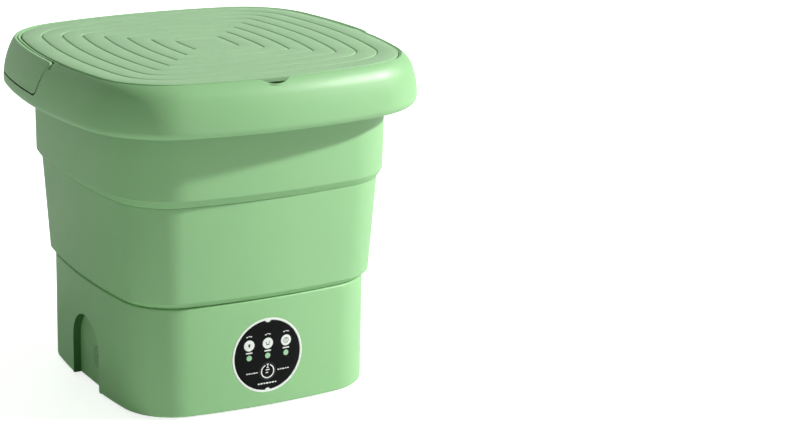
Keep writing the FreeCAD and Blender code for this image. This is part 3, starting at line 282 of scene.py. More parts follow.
def rounded(corners, steps=5):
    """A closed profile through corners (u, z, radius), with each corner rounded by its radius."""
    points = []
    count = len(corners)
    for index, (u, z, radius) in enumerate(corners):
        here = Vector((u, z))
        before = Vector(corners[index - 1][:2])
        after = Vector(corners[(index + 1) % count][:2])
        if radius <= 0:
            points.append((u, z))
            continue
        first = (before - here).normalized()
        last = (after - here).normalized()
        half_angle = math.acos(max(-1.0, min(1.0, first.dot(last)))) / 2
        if half_angle > math.radians(88):
            points.append((u, z))
            continue
        reach = radius / math.tan(half_angle)
        centre = here + (first + last).normalized() * (radius / math.sin(half_angle))
        start = here + first * reach - centre
        end = here + last * reach - centre
        sweep = math.atan2(start.x * end.y - start.y * end.x, start.dot(end))
        for step in range(steps + 1):
            turned = Matrix.Rotation(sweep * step / steps, 2) @ start
            points.append(tuple(centre + turned))
    return points


def arc(centre, radius, first, last, steps):
    """Points of a profile arc between two angles in degrees."""
    points = []
    for step in range(steps + 1):
        turn = math.radians(first + (last - first) * step / steps)
        points.append((centre[0] + radius * math.cos(turn), centre[1] + radius * math.sin(turn)))
    return points


def circle(radius, centre, steps):
    """A closed circle outline."""
    points = []
    for step in range(steps):
        turn = 2 * math.pi * step / steps
        points.append((centre[0] + radius * math.cos(turn), centre[1] + radius * math.sin(turn)))
    return points


# ---------------------------------------------------------------- meshes


def mesh_object(name, vertices, faces, material, degrees=32):
    """A mesh from points in millimetres."""
    mesh = bpy.data.meshes.new(name)
    mesh.from_pydata([Vector(point) * MM for point in vertices], [], faces)
    mesh.validate()
    built = bmesh.new()
    built.from_mesh(mesh)
    bmesh.ops.remove_doubles(built, verts=built.verts, dist=1e-6)
    bmesh.ops.dissolve_degenerate(built, edges=built.edges, dist=1e-7)
    bmesh.ops.recalc_face_normals(built, faces=built.faces)
    built.to_mesh(mesh)
    built.free()
    thing = bpy.data.objects.new(name, mesh)
    bpy.context.scene.collection.objects.link(thing)
    if material:
        mesh.materials.append(MATERIALS[material])
    smooth_sides(mesh, degrees)
    return thing


def wrapped_faces(columns, rows, closed=True):
    """The faces of a closed section carried along columns. An open run is capped at both ends."""
    faces = []
    for column in range(columns if closed else columns - 1):
        start = column * rows
        after = (column + 1) % columns * rows
        for row in range(rows):
            up = (row + 1) % rows
            faces.append((start + row, after + row, after + up, start + up))
    if not closed:
        faces.append(tuple(range(rows)))
        faces.append(tuple((columns - 1) * rows + row for row in reversed(range(rows))))
    return faces


def stacked_faces(rows, count):
    """The faces between closed rows of points, with a cap on the last row and on the first."""
    faces = []
    for row in range(rows - 1):
        start = row * count
        above = start + count
        for index in range(count):
            after = (index + 1) % count
            faces.append((start + index, start + after, above + after, above + index))
    faces.append(tuple((rows - 1) * count + index for index in range(count)))
    faces.append(tuple(reversed(range(count))))
    return faces


def carried_ring(name, outline, profile, material):
    """A closed profile (u, z) carried all round an outline."""
    places = outline.places()
    vertices = []
    for place in places:
        for u, z in profile:
            flat = outline.point(place, u)
            vertices.append((flat.x, flat.y, z))
    return mesh_object(name, vertices, wrapped_faces(len(places), len(profile)), material)


def prism(name, outline_points, first, last, along, material=None):
    """A prism of a closed outline along one axis. Along x the outline is (y, z), along y it is
    (x, z), and along z it is (x, y)."""
    def place(pair, level):
        if along == "x":
            return (level, pair[0], pair[1])
        if along == "y":
            return (pair[0], level, pair[1])
        return (pair[0], pair[1], level)
    count = len(outline_points)
    vertices = [place(pair, level) for level in (first, last) for pair in outline_points]
    faces = [tuple(reversed(range(count))), tuple(range(count, 2 * count))]
    faces += [(i, (i + 1) % count, count + (i + 1) % count, count + i) for i in range(count)]
    return mesh_object(name, vertices, faces, material)


def apply_tool(thing, tool, operation="DIFFERENCE"):
    """One solid combined with another, which is then removed."""
    modifier = thing.modifiers.new("tool", "BOOLEAN")
    modifier.operation = operation
    modifier.object = tool
    modifier.solver = "EXACT"
    settle(thing)
    bpy.data.objects.remove(tool)


def settle(thing):
    """The object's modifiers, applied to its mesh."""
    bpy.context.view_layer.update()
    graph = bpy.context.evaluated_depsgraph_get()
    mesh = bpy.data.meshes.new_from_object(thing.evaluated_get(graph))
    thing.modifiers.clear()
    old = thing.data
    thing.data = mesh
    bpy.data.meshes.remove(old)


def soften(thing, width, degrees):
    """A small rounding on every edge that turns more than an angle."""
    bevel = thing.modifiers.new("edges", "BEVEL")
    bevel.width = width * MM
    bevel.segments = 2
    bevel.limit_method = "ANGLE"
    bevel.angle_limit = math.radians(degrees)
    bevel.use_clamp_overlap = True
    bevel.harden_normals = False
    settle(thing)
    smooth_sides(thing.data, 50)


def reference_of(thing):
    """The uncut surface, kept so that the cut one can be shaded with its normals."""
    built = bmesh.new()
    built.from_mesh(thing.data)
    bmesh.ops.triangulate(built, faces=built.faces)
    built.normal_update()
    tree = BVHTree.FromBMesh(built)
    mesh = bpy.data.meshes.new("reference")
    built.to_mesh(mesh)
    built.free()
    smooth_sides(mesh, 32)
    normals = [Vector(corner.vector) for corner in mesh.corner_normals]
    triangles = []
    for face in mesh.polygons:
        corners = [mesh.vertices[index].co.copy() for index in face.vertices]
        triangles.append((corners, [normals[loop] for loop in face.loop_indices]))
    bpy.data.meshes.remove(mesh)
    return tree, triangles


# a face counts as uncut within this many millimetres of the reference and this cosine of its normal
REFERENCE_REACH = 0.02
REFERENCE_FACING = 0.94


def match_normals(thing, reference):
    """Shades every face that still lies on the uncut surface with that surface's own normals."""
    tree, triangles = reference
    mesh = thing.data
    normals = [Vector(corner.vector) for corner in mesh.corner_normals]
    for face in mesh.polygons:
        found = []
        for loop in face.loop_indices:
            point = mesh.vertices[mesh.loops[loop].vertex_index].co
            inward = point.lerp(face.center, 0.02)
            spot, _, index, distance = tree.find_nearest(inward)
            if spot is None or distance > REFERENCE_REACH * MM:
                break
            corners, smooth = triangles[index]
            weights = poly_3d_calc(corners, spot)
            normal = sum((n * w for n, w in zip(smooth, weights)), Vector()).normalized()
            if normal.dot(face.normal) < REFERENCE_FACING:
                break
            found.append((loop, normal))
        else:
            for loop, normal in found:
                normals[loop] = normal
    mesh.normals_split_custom_set(normals)


def join(name, *things):
    """Several meshes as one object."""
    built = bmesh.new()
    slots = []
    for thing in things:
        offset = len(slots)
        slots += list(thing.data.materials)
        start = len(built.faces)
        built.from_mesh(thing.data)
        built.faces.ensure_lookup_table()
        for face in built.faces[start:]:
            face.material_index += offset
    mesh = bpy.data.meshes.new(name)
    built.to_mesh(mesh)
    built.free()
    for slot in slots:
        mesh.materials.append(slot)
    joined = bpy.data.objects.new(name, mesh)
    bpy.context.scene.collection.objects.link(joined)
    for thing in things:
        bpy.data.objects.remove(thing)
    return joined


def stand_for(thing, body, slot, *replaced):
    """The object rides a body and hides the CAD nodes it stands for. The slot is not used."""
    if replaced:
        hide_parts(*replaced)
    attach(thing, body)


# ---------------------------------------------------------------- base

WALL = 2.4
BASE_LOW = 1.5
BASE_TOP = 86.8
PANEL_Z = 42
SEAT_RADIUS = 29.5
SOCKET_Z = 20
SOCKET_RADIUS = 5.4
NICHE_Y = 0
NICHE_HALF = 25
NICHE_TOP = 57
NICHE_BACK = -104.5 + 7
DRAIN_PLACE = (-13, 26)
DRAIN_RADIUS = 5.95


def arch(half, top, low):
    """The niche's arched outline in the YZ plane."""
    steps = 28
    points = [(NICHE_Y - half, low)]
    centre = top - half
    for step in range(steps + 1):
        turn = math.pi - math.pi * step / steps
        points.append((NICHE_Y + half * math.cos(turn), centre + half * math.sin(turn)))
    points.append((NICHE_Y + half, low))
    return points


def paint_niche_shade(wall):
    """The niche's side walls take a darker green: painted shade for the deep shade they stand in."""
    mesh = wall.data
    mesh.materials.append(MATERIALS["niche_painted_shade"])
    dark = len(mesh.materials) - 1
    crown = 12
    for face in mesh.polygons:
        x, y, z = face.center / MM
        away = abs(y - NICHE_Y)
        deep = -104.2 < x < NICHE_BACK + 0.2
        inside = deep and away < NICHE_HALF + 0.3 and z < NICHE_TOP + 0.3
        if inside and abs(face.normal.x) < 0.3 and away > crown:
            face.material_index = dark


def make_base():
    """The lower wall with its arched niche, panel seat, socket hole and drain hole."""
    wall = carried_ring("base_wall_skin", BASE, rounded([
        (102.1, BASE_LOW, 0.4), (104.5, BASE_LOW, 1.9), (104.5, BASE_TOP, 1.6),
        (102.1, BASE_TOP, 0.4),
    ], 6), "green_shell")
    uncut = reference_of(wall)
    lining = arch(NICHE_HALF + WALL, NICHE_TOP + WALL, BASE_LOW + 0.02)
    pocket = prism("pocket", lining, -103.4, NICHE_BACK + WALL, "x", "green_shell")
    apply_tool(wall, pocket, "UNION")
    apply_tool(wall, prism("niche", arch(NICHE_HALF, NICHE_TOP, 0.2), -112, NICHE_BACK, "x"))
    apply_tool(wall, prism("seat", circle(SEAT_RADIUS, (0, PANEL_Z), 96), -112, -90, "y"))
    apply_tool(wall, prism("socket", circle(SOCKET_RADIUS, (0, SOCKET_Z), 48), 90, 112, "y"))
    apply_tool(wall, prism("drain", circle(DRAIN_RADIUS, DRAIN_PLACE, 48), -112, -90, "x"))
    soften(wall, 0.5, 40)
    match_normals(wall, uncut)
    # painted shade on the niche's side walls
    paint_niche_shade(wall)
    stand_for(wall, "base", "green_shell", "base_shell")


# ---------------------------------------------------------------- folding rings and webs

# corners (u, z, rounding) of the two rings' walls
MIDDLE_WALL = [(105.8, 91, 0.3), (107.4, 91, 1.2), (112.6, 166.0, 0.4), (111.0, 166.0, 0.2)]
UPPER_WALL = [(115.8, 171.5, 0.3), (117.4, 171.5, 1.3), (118.1, 238, 0.6), (116.5, 238, 0.6)]
WEB_WALL = 1.0
WEB_BOW = 0.25


def make_rings():
    """The two telescoping rings and the soft webs between the stages."""
    middle = carried_ring("middle_band", MIDDLE, rounded(MIDDLE_WALL, 8), "green_wall")
    stand_for(middle, "middle", "green_wall", "middle_ring")
    upper = carried_ring("upper_band", UPPER, rounded(UPPER_WALL, 8), "green_wall")
    stand_for(upper, "upper", "green_wall", "upper_ring")
    lower_web = make_web("lower_web_skin", BASE, 102.9, 86.9, MIDDLE, 106.9, 91.2)
    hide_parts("lower_web")
    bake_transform(lower_web)
    upper_web = make_web("upper_web_skin", MIDDLE, 112.6, 166.1, UPPER, 117.0, 171.8)
    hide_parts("upper_web")
    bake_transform(upper_web)


def make_web(name, lower, low_width, low, upper, high_width, high):
    """A soft flared wall between two stages whose outlines differ, with a shallow bow."""
    places = lower.places()
    steps = 10
    # (share of the height, inset): up the outer face and down the inner one
    section = [(step / steps, 0) for step in range(steps + 1)]
    section += [(1 - step / steps, WEB_WALL) for step in range(steps + 1)]
    vertices = []
    for place in places:
        first = lower.point(place, low_width)
        last = upper.point(place, high_width)
        for share, inset in section:
            flat = first.lerp(last, share)
            flat -= flat.normalized() * inset
            flat += flat.normalized() * (math.sin(math.pi * share) * WEB_BOW)
            vertices.append((flat.x, flat.y, low + (high - low) * share))
    return mesh_object(name, vertices, wrapped_faces(len(places), len(section)), "soft_web")


# ---------------------------------------------------------------- collar

# The collar's section is a hem arc, a dome arc and a tighter shoulder arc up to the rim's crest.
EQUATOR_Z = 229
HEM = 6
DOME = 61.8
SHOULDER = 21
SHOULDER_TURN = 20
RIM_TURN = 57
DOME_CENTRE = (142.8 - DOME, EQUATOR_Z)
HEM_CENTRE = (142.8 - HEM, EQUATOR_Z)
SHOULDER_CENTRE = (
    DOME_CENTRE[0] + (DOME - SHOULDER) * math.cos(math.radians(SHOULDER_TURN)),
    DOME_CENTRE[1] + (DOME - SHOULDER) * math.sin(math.radians(SHOULDER_TURN)),
)
REBATE = 128.4
REBATE_TOP = 259.3
RIM_OUTSIDE = 130.6
LEDGE_LOW = 253.9
LEDGE_TOP = 256.2

# The handle in side view: its lower and upper edges, and y where its front meets each of them.
HANDLE_LOW = 234.6
HANDLE_HIGH = 260.6
HANDLE_FOOT = -2
HANDLE_TOP = -13
HANDLE_CORNER = 8
HANDLE_LIP = 0.9
HANDLE_THICK = 3.2
PIVOT_Y = -4.5
PIVOT_Z = 252

POCKET = DOME - 4.0
POCKET_BACK = POCKET - 2.2
POCKET_FLOOR = HANDLE_LOW - 0.8
# margins (below and in front, at the top) round the handle's side view
POCKET_GAP = (0.8, 1.6)
POCKET_FRAME = (3.0, 3.8)
# rods (radius, from x, to x) about the pivot that clear the front ends when the handle swings up
SWING_RELIEF = [
    (12.2, RIM_OUTSIDE - 0.7, RIM_OUTSIDE + 5),
    (8.9, RIM_OUTSIDE + 4, RIM_OUTSIDE + 6.15),
]

NOTCH_X = -9
NOTCH_HALF = 14
NOTCH_DEPTH = 6
NOTCH_FLOOR = 257.6
NOTCH_RADIUS = (NOTCH_HALF ** 2 + NOTCH_DEPTH ** 2) / (2 * NOTCH_DEPTH)
NOTCH_CENTRE = (NOTCH_X, NOTCH_RADIUS - REBATE - NOTCH_DEPTH)


def turn_at_height(centre, radius, height):
    """The angle in degrees at which an arc reaches a height."""
    return math.degrees(math.asin((height - centre[1]) / radius))


def turn_at_width(centre, radius, width):
    """The angle in degrees at which an arc reaches a half width."""
    return math.degrees(math.acos((width - centre[0]) / radius))


def side_view(margin, top_margin):
    """The handle's side view grown by a margin, as a YZ outline with a rounded lower front corner.
    It runs on past the handle's back and top."""
    low = HANDLE_LOW - margin
    foot = HANDLE_FOOT - margin
    top = HANDLE_TOP - top_margin
    slope = (top - foot) / (HANDLE_HIGH - low)
    extra = 10
    above = HANDLE_HIGH + extra
    return rounded([
        (160, low, 0), (160, above, 0), (top + slope * extra, above, 0),
        (foot, low, HANDLE_CORNER + margin),
    ], 14)


def pivot_tool(radius, first, last, side):
    """A rod on the handle's pivot axis, on one side of the collar."""
    return prism("rod", circle(radius, (PIVOT_Y, PIVOT_Z), 72), side * first, side * last, "x")


def collar_skin():
    """The thin domed rim, from its hem over the crest and down to the lid's rebate."""
    crest_u, crest_z = arc(SHOULDER_CENTRE, SHOULDER, RIM_TURN, RIM_TURN, 1)[0]
    inner_turn = turn_at_width(SHOULDER_CENTRE, SHOULDER - WALL, RIM_OUTSIDE)
    profile = arc(HEM_CENTRE, HEM, -90, 0, 14)
    profile += arc(DOME_CENTRE, DOME, 0, SHOULDER_TURN, 14)[1:]
    profile += arc(SHOULDER_CENTRE, SHOULDER, SHOULDER_TURN, RIM_TURN, 18)[1:]
    profile += rounded([
        (crest_u, crest_z, 0), (crest_u - 0.6, crest_z - 0.25, 0.3), (REBATE, REBATE_TOP, 0.5),
        (REBATE, LEDGE_LOW, 0), (RIM_OUTSIDE, LEDGE_LOW, 0),
    ], 5)[1:]
    profile += arc(SHOULDER_CENTRE, SHOULDER - WALL, inner_turn, SHOULDER_TURN, 10)
    profile += arc(DOME_CENTRE, DOME - WALL, SHOULDER_TURN, 0, 8)[1:]
    profile += arc(HEM_CENTRE, HEM - WALL, 0, -90, 8)[1:]
    return carried_ring("collar_skin", COLLAR, profile, "green_shell")


def deep_wall():
    """The thicker wall round and behind the handle's pocket."""
    low = POCKET_FLOOR - 2.2
    top_u = 128.6
    outside = DOME - 0.3
    profile = arc(
        DOME_CENTRE, POCKET_BACK, turn_at_height(DOME_CENTRE, POCKET_BACK, low),
        turn_at_width(DOME_CENTRE, POCKET_BACK, top_u), 14,
    )
    profile.append((top_u, 259.8))
    profile += arc(SHOULDER_CENTRE, SHOULDER - 0.3, RIM_TURN, SHOULDER_TURN, 10)
    outside_low = turn_at_height(DOME_CENTRE, outside, low)
    profile += arc(DOME_CENTRE, outside, SHOULDER_TURN, outside_low, 8)[1:]
    deep = carried_ring("deep_wall", COLLAR, profile, "green_shell")
    apply_tool(deep, prism("grown", side_view(*POCKET_FRAME), -160, 160, "x"), "INTERSECT")
    return deep


def cut_pocket(part):
    """Room for the handle at rest, and for its front ends when it swings up."""
    profile = arc(
        DOME_CENTRE, POCKET, turn_at_height(DOME_CENTRE, POCKET, POCKET_FLOOR),
        turn_at_width(DOME_CENTRE, POCKET, RIM_OUTSIDE), 14,
    )
    profile += [(RIM_OUTSIDE, 268), (158, 268), (158, POCKET_FLOOR)]
    pocket = carried_ring("pocket_space", COLLAR, profile, "green_shell")
    apply_tool(pocket, prism("view", side_view(*POCKET_GAP), -165, 165, "x"), "INTERSECT")
    apply_tool(part, pocket)
    for side in (1, -1):
        for radius, first, last in SWING_RELIEF:
            apply_tool(part, pivot_tool(radius, first, last, side))


def notch_floor():
    """The floor under the finger notch."""
    half = 15.2
    half_turn = math.asin(half / (NOTCH_RADIUS + 2))
    first = math.degrees(-math.pi / 2 - half_turn)
    last = math.degrees(-math.pi / 2 + half_turn)
    outline = arc(NOTCH_CENTRE, NOTCH_RADIUS + 1.4, first, last, 24)
    outline += [(NOTCH_X + half, -REBATE + 0.6), (NOTCH_X - half, -REBATE + 0.6)]
    return prism("notch_floor", outline, 254.4, NOTCH_FLOOR, "z", "green_shell")


def make_collar():
    """The domed rim: skin, ledge for the lid, guide sleeve and the pocket that the handle lies in."""
    skin = collar_skin()
    uncut = reference_of(skin)
    deep = deep_wall()
    for part in (skin, deep):
        cut_pocket(part)
    apply_tool(skin, prism("scoop", circle(NOTCH_RADIUS, NOTCH_CENTRE, 128), NOTCH_FLOOR, 275, "z"))
    soften(skin, 0.45, 38)
    patch = notch_floor()
    ledge = carried_ring("ledge", COLLAR, rounded([
        (120.6, LEDGE_LOW, 0.3), (131.0, LEDGE_LOW, 0), (131.0, LEDGE_TOP, 0),
        (120.6, LEDGE_TOP, 0.6),
    ], 3), "green_shell")
    sleeve = carried_ring("sleeve", UPPER, rounded([
        (118.9, EQUATOR_Z, 0.4), (120.5, EQUATOR_Z, 0.4), (120.5, 255.7, 0), (118.9, 255.7, 0.5),
    ], 3), "green_shell")
    boss = circle(4, (PIVOT_Y, PIVOT_Z), 48)
    bosses = [
        prism("boss", boss, side * 119.4, side * 130.6, "x", "green_shell") for side in (1, -1)
    ]
    collar = join("collar_dome", skin, deep, patch, ledge, sleeve, *bosses)
    smooth_sides(collar.data, 45)
    match_normals(collar, uncut)
    stand_for(collar, "collar", "green_shell", "collar", "lid_ledge", "guide_sleeve")


# ---------------------------------------------------------------- handle


def handle_section():
    """The handle's cross section as a closed list of (u, z), from the low outer edge upward."""
    inner = DOME - HANDLE_THICK
    inside = RIM_OUTSIDE + 0.8
    lip_z = HANDLE_HIGH - HANDLE_LIP
    lip_turn = turn_at_height(DOME_CENTRE, DOME, lip_z)
    lip_u = DOME_CENTRE[0] + DOME * math.cos(math.radians(lip_turn))
    low_turn = turn_at_height(DOME_CENTRE, DOME, HANDLE_LOW) + 0.6
    points = arc(DOME_CENTRE, DOME, low_turn, lip_turn - 1.2, 22)
    corner = rounded([
        (*points[-1], 0), (lip_u, lip_z, 0), (lip_u - HANDLE_LIP, HANDLE_HIGH, 0.5),
        (inside, HANDLE_HIGH, 0.8), (inside, 257.0, 0),
    ], 6)
    points += corner[2:-1]
    points += arc(
        DOME_CENTRE, inner, turn_at_width(DOME_CENTRE, inner, inside),
        turn_at_height(DOME_CENTRE, inner, HANDLE_LOW) + 0.8, 14,
    )
    inner_u = points[-1][0]
    outer_u = points[0][0]
    return points + [(inner_u + 0.5, HANDLE_LOW), (outer_u - 0.5, HANDLE_LOW)]


def front_edge(z):
    """How far forward the handle reaches at a height: a slanted line with a rounded lower corner."""
    slope = (HANDLE_TOP - HANDLE_FOOT) / (HANDLE_HIGH - HANDLE_LOW)
    stretch = math.sqrt(1 + slope ** 2)
    centre_y = HANDLE_FOOT + slope * HANDLE_CORNER + stretch * HANDLE_CORNER
    centre_z = HANDLE_LOW + HANDLE_CORNER
    if z < centre_z + HANDLE_CORNER * slope / stretch:
        return centre_y - math.sqrt(max(0.0, HANDLE_CORNER ** 2 - (z - centre_z) ** 2))
    return HANDLE_FOOT + slope * (z - HANDLE_LOW)


def front_rounding(z):
    """The rounding of the handle's front ends, larger toward the top."""
    return 0.9 + 3.2 * max(0.0, min(1.0, (z - 249) / 8))


def place_at(u, y, side):
    """The place on one side of the collar where the parallel outline reaches y, by halving."""
    low, high = (-0.12, 0.12) if side > 0 else (0.62, 0.38)
    for _ in range(40):
        half = (low + high) / 2
        if COLLAR.point(half, u).y < y:
            low = half
        else:
            high = half
    return (low + high) / 2


def make_handle():
    """The bail: a curved band round the back half, ending in a slanted front with a rounded
    corner."""
    section = handle_section()
    rows = len(section)
    middle = Vector((sum(u for u, _ in section) / rows, sum(z for _, z in section) / rows))
    starts = []
    for u, z in section:
        edge = front_edge(z)
        starts.append((place_at(u, edge, 1), place_at(u, edge, -1)))
    # stations (share of the way round, step along, step into the section), dense at the ends
    steps = 150
    length = 820.0
    ends = []
    for value in (0.0, 0.12, 0.3, 0.5, 0.75, 1.0):
        turn = math.pi / 2 * value
        ends.append((1 - math.cos(turn), 1 - math.sin(turn)))
    stations = [(0.0, along, inset) for along, inset in ends]
    stations += [(step / steps, 0.0, 0.0) for step in range(1, steps)]
    stations += [(1.0, -along, inset) for along, inset in reversed(ends)]
    vertices = []
    for share, along, inset in stations:
        for (u, z), (first, last) in zip(section, starts):
            soft = front_rounding(z)
            shift = (middle - Vector((u, z))).normalized() * inset * soft
            place = first + (last - first) * (share + along * soft / length)
            flat = COLLAR.point(place, u + shift.x)
            vertices.append((flat.x, flat.y, z + shift.y))
    faces = wrapped_faces(len(stations), rows, closed=False)
    parts = [mesh_object("handle_band", vertices, faces, "green_shell", 40)]
    pivot = (PIVOT_Y, PIVOT_Z)
    for side in (1, -1):
        ear = prism("ear", circle(4.4, pivot, 56), side * 131.4, side * 134.6, "x", "green_shell")
        apply_tool(ear, prism("bore", circle(2.06, pivot, 40), side * 130, side * 138, "x"))
        soften(ear, 0.35, 40)
        parts.append(ear)
    handle = join("handle_bail", *parts)
    smooth_sides(handle.data, 40)
    stand_for(handle, "handle", "green_shell", "handle")


# ---------------------------------------------------------------- lid

GROOVE_PITCH = 15.6
GROOVES = 7
LID_HALF = 127.8
LID_TOP = 260.8
LID_LOW = 257.2
# the lid's rounded edge as (inward, downward) from its top corner
LID_EDGE = [(0.0, 0.9), (0.1, 0.45), (0.3, 0.15), (0.7, 0.0)]
# a groove's section as (across, depth)
GROOVE = [
    (-1.15, 0.0), (-0.95, 0.05), (-0.75, 0.22), (-0.25, 0.95), (0.0, 1.1), (0.25, 0.95),
    (0.75, 0.22), (0.95, 0.05), (1.15, 0.0),
]


def make_lid():
    """The flat lid with its concentric grooves, and the gasket under its edge."""
    rows = [(LID_HALF, LID_LOW + 0.3)]
    rows += [(LID_HALF - inward, LID_TOP - downward) for inward, downward in LID_EDGE]
    for index in range(1, GROOVES + 1):
        centre = LID_HALF - index * GROOVE_PITCH
        rows.append((centre + GROOVE_PITCH * 0.5, LID_TOP))
        rows += [(centre - across, LID_TOP - depth) for across, depth in GROOVE]
    rows += [(10.0, LID_TOP), (4.0, LID_TOP)]
    places = COLLAR.places()
    vertices = []
    for u, z in rows:
        for place in places:
            flat = COLLAR.point(place, u)
            vertices.append((flat.x, flat.y, z))
    faces = stacked_faces(len(rows), len(places))
    lid = mesh_object("lid_top", vertices, faces, "green_lid", 30)
    stand_for(lid, "lid", "green_lid", "lid")
    gasket = carried_ring("lid_seal", COLLAR, rounded([
        (121.5, LEDGE_TOP, 0.4), (125.8, LEDGE_TOP, 0.4), (125.8, LID_LOW, 0.1),
        (121.5, LID_LOW, 0.1),
    ], 4), "grey_seal")
    stand_for(gasket, "lid", "grey_seal", "lid_gasket")


# ---------------------------------------------------------------- control panel

# Places on the panel are (x, z) from its centre.
SIGN_PLACES = (-15.5, 0, 15.5)
SIGN_Z = 9.5
BUTTON_PLACE = (0, -12.8)
BEZEL = [
    (27.65, -3.0), (27.65, 0.0), (27.8, 0.14), (28.1, 0.2), (28.9, 0.2), (29.2, 0.16),
    (29.38, 0.02), (29.4, -3.0),
]
TAB = [(-3.0, 28.0), (-1.5, 26.5), (-0.6, 26.1), (0.6, 26.1), (1.5, 26.5), (3.0, 28.0)]


def front_point(x, z, out):
    """A point over the bowed front wall, at a height above its outer face."""
    radius = BASE.side + out
    return (x, -BASE.side_centre - math.sqrt(radius ** 2 - x ** 2), z)


def flat_piece(name, outline, low, high, material, bevel=0.0):
    """A shallow relief over the front wall from a closed outline (x, z) about the panel's centre.
    The top face is filled in rings so that it follows the wall's bow."""
    count = len(outline)
    centre = Vector((sum(p[0] for p in outline) / count, sum(p[1] for p in outline) / count))
    rows = [(1.0, low, 0.0), (1.0, high - bevel, 0.0)]
    if bevel:
        for degrees in (30, 60, 90):
            turn = math.radians(degrees)
            rows.append((1.0, high - bevel * (1 - math.sin(turn)), bevel * (1 - math.cos(turn))))
    rows += [(share, high, bevel * share) for share in (0.8, 0.6, 0.4, 0.2)]
    vertices = []
    for share, out, inset in rows:
        for x, z in outline:
            away = Vector((x, z)) - centre
            spot = centre + away * share - away.normalized() * inset
            vertices.append(front_point(spot.x, PANEL_Z + spot.y, out))
    return mesh_object(name, vertices, stacked_faces(len(rows), count), material, 40)


def ring_piece(name, centre, rows, material, first=0.0, last=360.0, steps=96):
    """A ring over the front wall from a cross section of (radius, height) rows, whole or in part."""
    whole = last - first >= 360
    count = steps if whole else steps + 1
    vertices = []
    for index in range(count):
        turn = math.radians(first + (last - first) * index / steps)
        for radius, out in rows:
            x = centre[0] + radius * math.cos(turn)
            z = centre[1] + radius * math.sin(turn)
            vertices.append(front_point(x, PANEL_Z + z, out))
    return mesh_object(name, vertices, wrapped_faces(count, len(rows), whole), material, 40)


def pill(width, height, centre, steps=6):
    """A bar outline with round ends."""
    radius = height / 2
    points = []
    for sign, base in ((1, -90), (-1, 90)):
        for step in range(steps + 1):
            turn = math.radians(base + 180 * step / steps)
            points.append((
                centre[0] + sign * (width / 2 - radius) + radius * math.cos(turn),
                centre[1] + radius * math.sin(turn),
            ))
    return points


def dash(width, height, x, z):
    """One printed dash."""
    return flat_piece("dash", pill(width, height, (x, z)), -0.2, 0.08, "ink_white")


def dash_row(x, z, way, widths, height, gap):
    """A row of dashes that starts at x and runs to the right (way 1) or to the left (way -1)."""
    dashes = []
    for width in widths:
        x += way * width / 2
        dashes.append(dash(width, height, x, z))
        x += way * (width / 2 + gap)
    return dashes


def mode_signs():
    """Three white discs, each with a bar below and dashes above, and their generic pictograms."""
    marks = []
    for x in SIGN_PLACES:
        marks.append(flat_piece("sign", circle(4.3, (x, SIGN_Z), 48), -0.2, 0.1, "ink_white", 0.03))
        marks.append(flat_piece("bar", pill(5.6, 1.0, (x, 3.6)), -0.2, 0.08, "ink_white"))
        for offset, width, lift in ((-1.7, 1.5, 16.4), (0.0, 1.1, 16.9), (1.6, 1.5, 16.5)):
            marks.append(dash(width, 0.8, x + offset, lift))
    left, _, right = SIGN_PLACES
    # a drop at the left, a tub of water in the middle and a clock with one hand at the right
    turns = [2 * math.pi * step / 24 for step in range(24)]
    drop = [(left + 1.1 * math.sin(t) * math.sin(t / 2), 9.3 - 1.7 * math.cos(t)) for t in turns]
    marks.append(flat_piece("drop", drop, -0.1, 0.12, "ink_dark"))
    tub = [(-1.7, 10.9), (-1.2, 8.0), (1.2, 8.0), (1.7, 10.9)]
    marks.append(flat_piece("tub", tub, -0.1, 0.115, "ink_dark"))
    hollow = [(-1.15, 10.9), (-0.85, 8.7), (0.85, 8.7), (1.15, 10.9)]
    marks.append(flat_piece("tub_hollow", hollow, -0.1, 0.12, "ink_white"))
    dial = [(1.7, 0.0), (1.7, 0.12), (2.15, 0.12), (2.15, 0.0)]
    marks.append(ring_piece("clock", (right, SIGN_Z), dial, "ink_dark", steps=32))
    marks.append(flat_piece("hand", pill(0.5, 1.9, (right, 10.0)), -0.1, 0.12, "ink_dark"))
    return marks


def make_panel():
    """The round control panel: bezel, black window, signs and lamps."""
    parts = [ring_piece("panel_bezel", (0, 0), BEZEL, "white_plastic", steps=128)]
    for sign in (1, -1):
        tab = [(x, sign * z) for x, z in TAB][::sign]
        parts.append(flat_piece("tab", tab, -0.4, 0.16, "white_plastic", 0.08))
    stand_for(join("panel_bezel_ring", *parts), "base", "white_plastic", "panel_ring")

    disc = circle(27.55, (0, 0), 128)
    window = flat_piece("window_disc", disc, -1.6, 0.0, "black_gloss", 0.15)
    button_x, button_z = BUTTON_PLACE
    hole = circle(6.85, (button_x, PANEL_Z + button_z), 72)
    apply_tool(window, prism("button_hole", hole, -112, -90, "y"))
    smooth_sides(window.data, 40)
    stand_for(window, "base", "black_gloss", "panel_window")

    # rows of short dashes stand in place of printed words
    marks = mode_signs()
    marks += dash_row(-8.3, button_z, -1, (1.3, 2.1, 1.2, 1.9, 1.4), 0.85, 0.42)
    marks += dash_row(8.3, button_z, 1, (1.9, 1.3, 2.2, 1.2, 1.6), 0.85, 0.42)
    marks += dash_row(-8.2, -22.2, 1, (1.6, 2.2, 1.5, 2.3, 1.6, 2.1, 1.4), 1.15, 0.5)
    stand_for(join("panel_signs", *marks), "base", "white_plastic", "panel_marks")

    lamps = []
    for x in SIGN_PLACES:
        lens = circle(2.3, (x, -0.4), 40)
        lamps.append(flat_piece("lamp_dome", lens, -2.0, 0.1, "lamp", 0.35))
    stand_for(join("lamp_lenses", *lamps), "base", "lamp", "led_lenses")


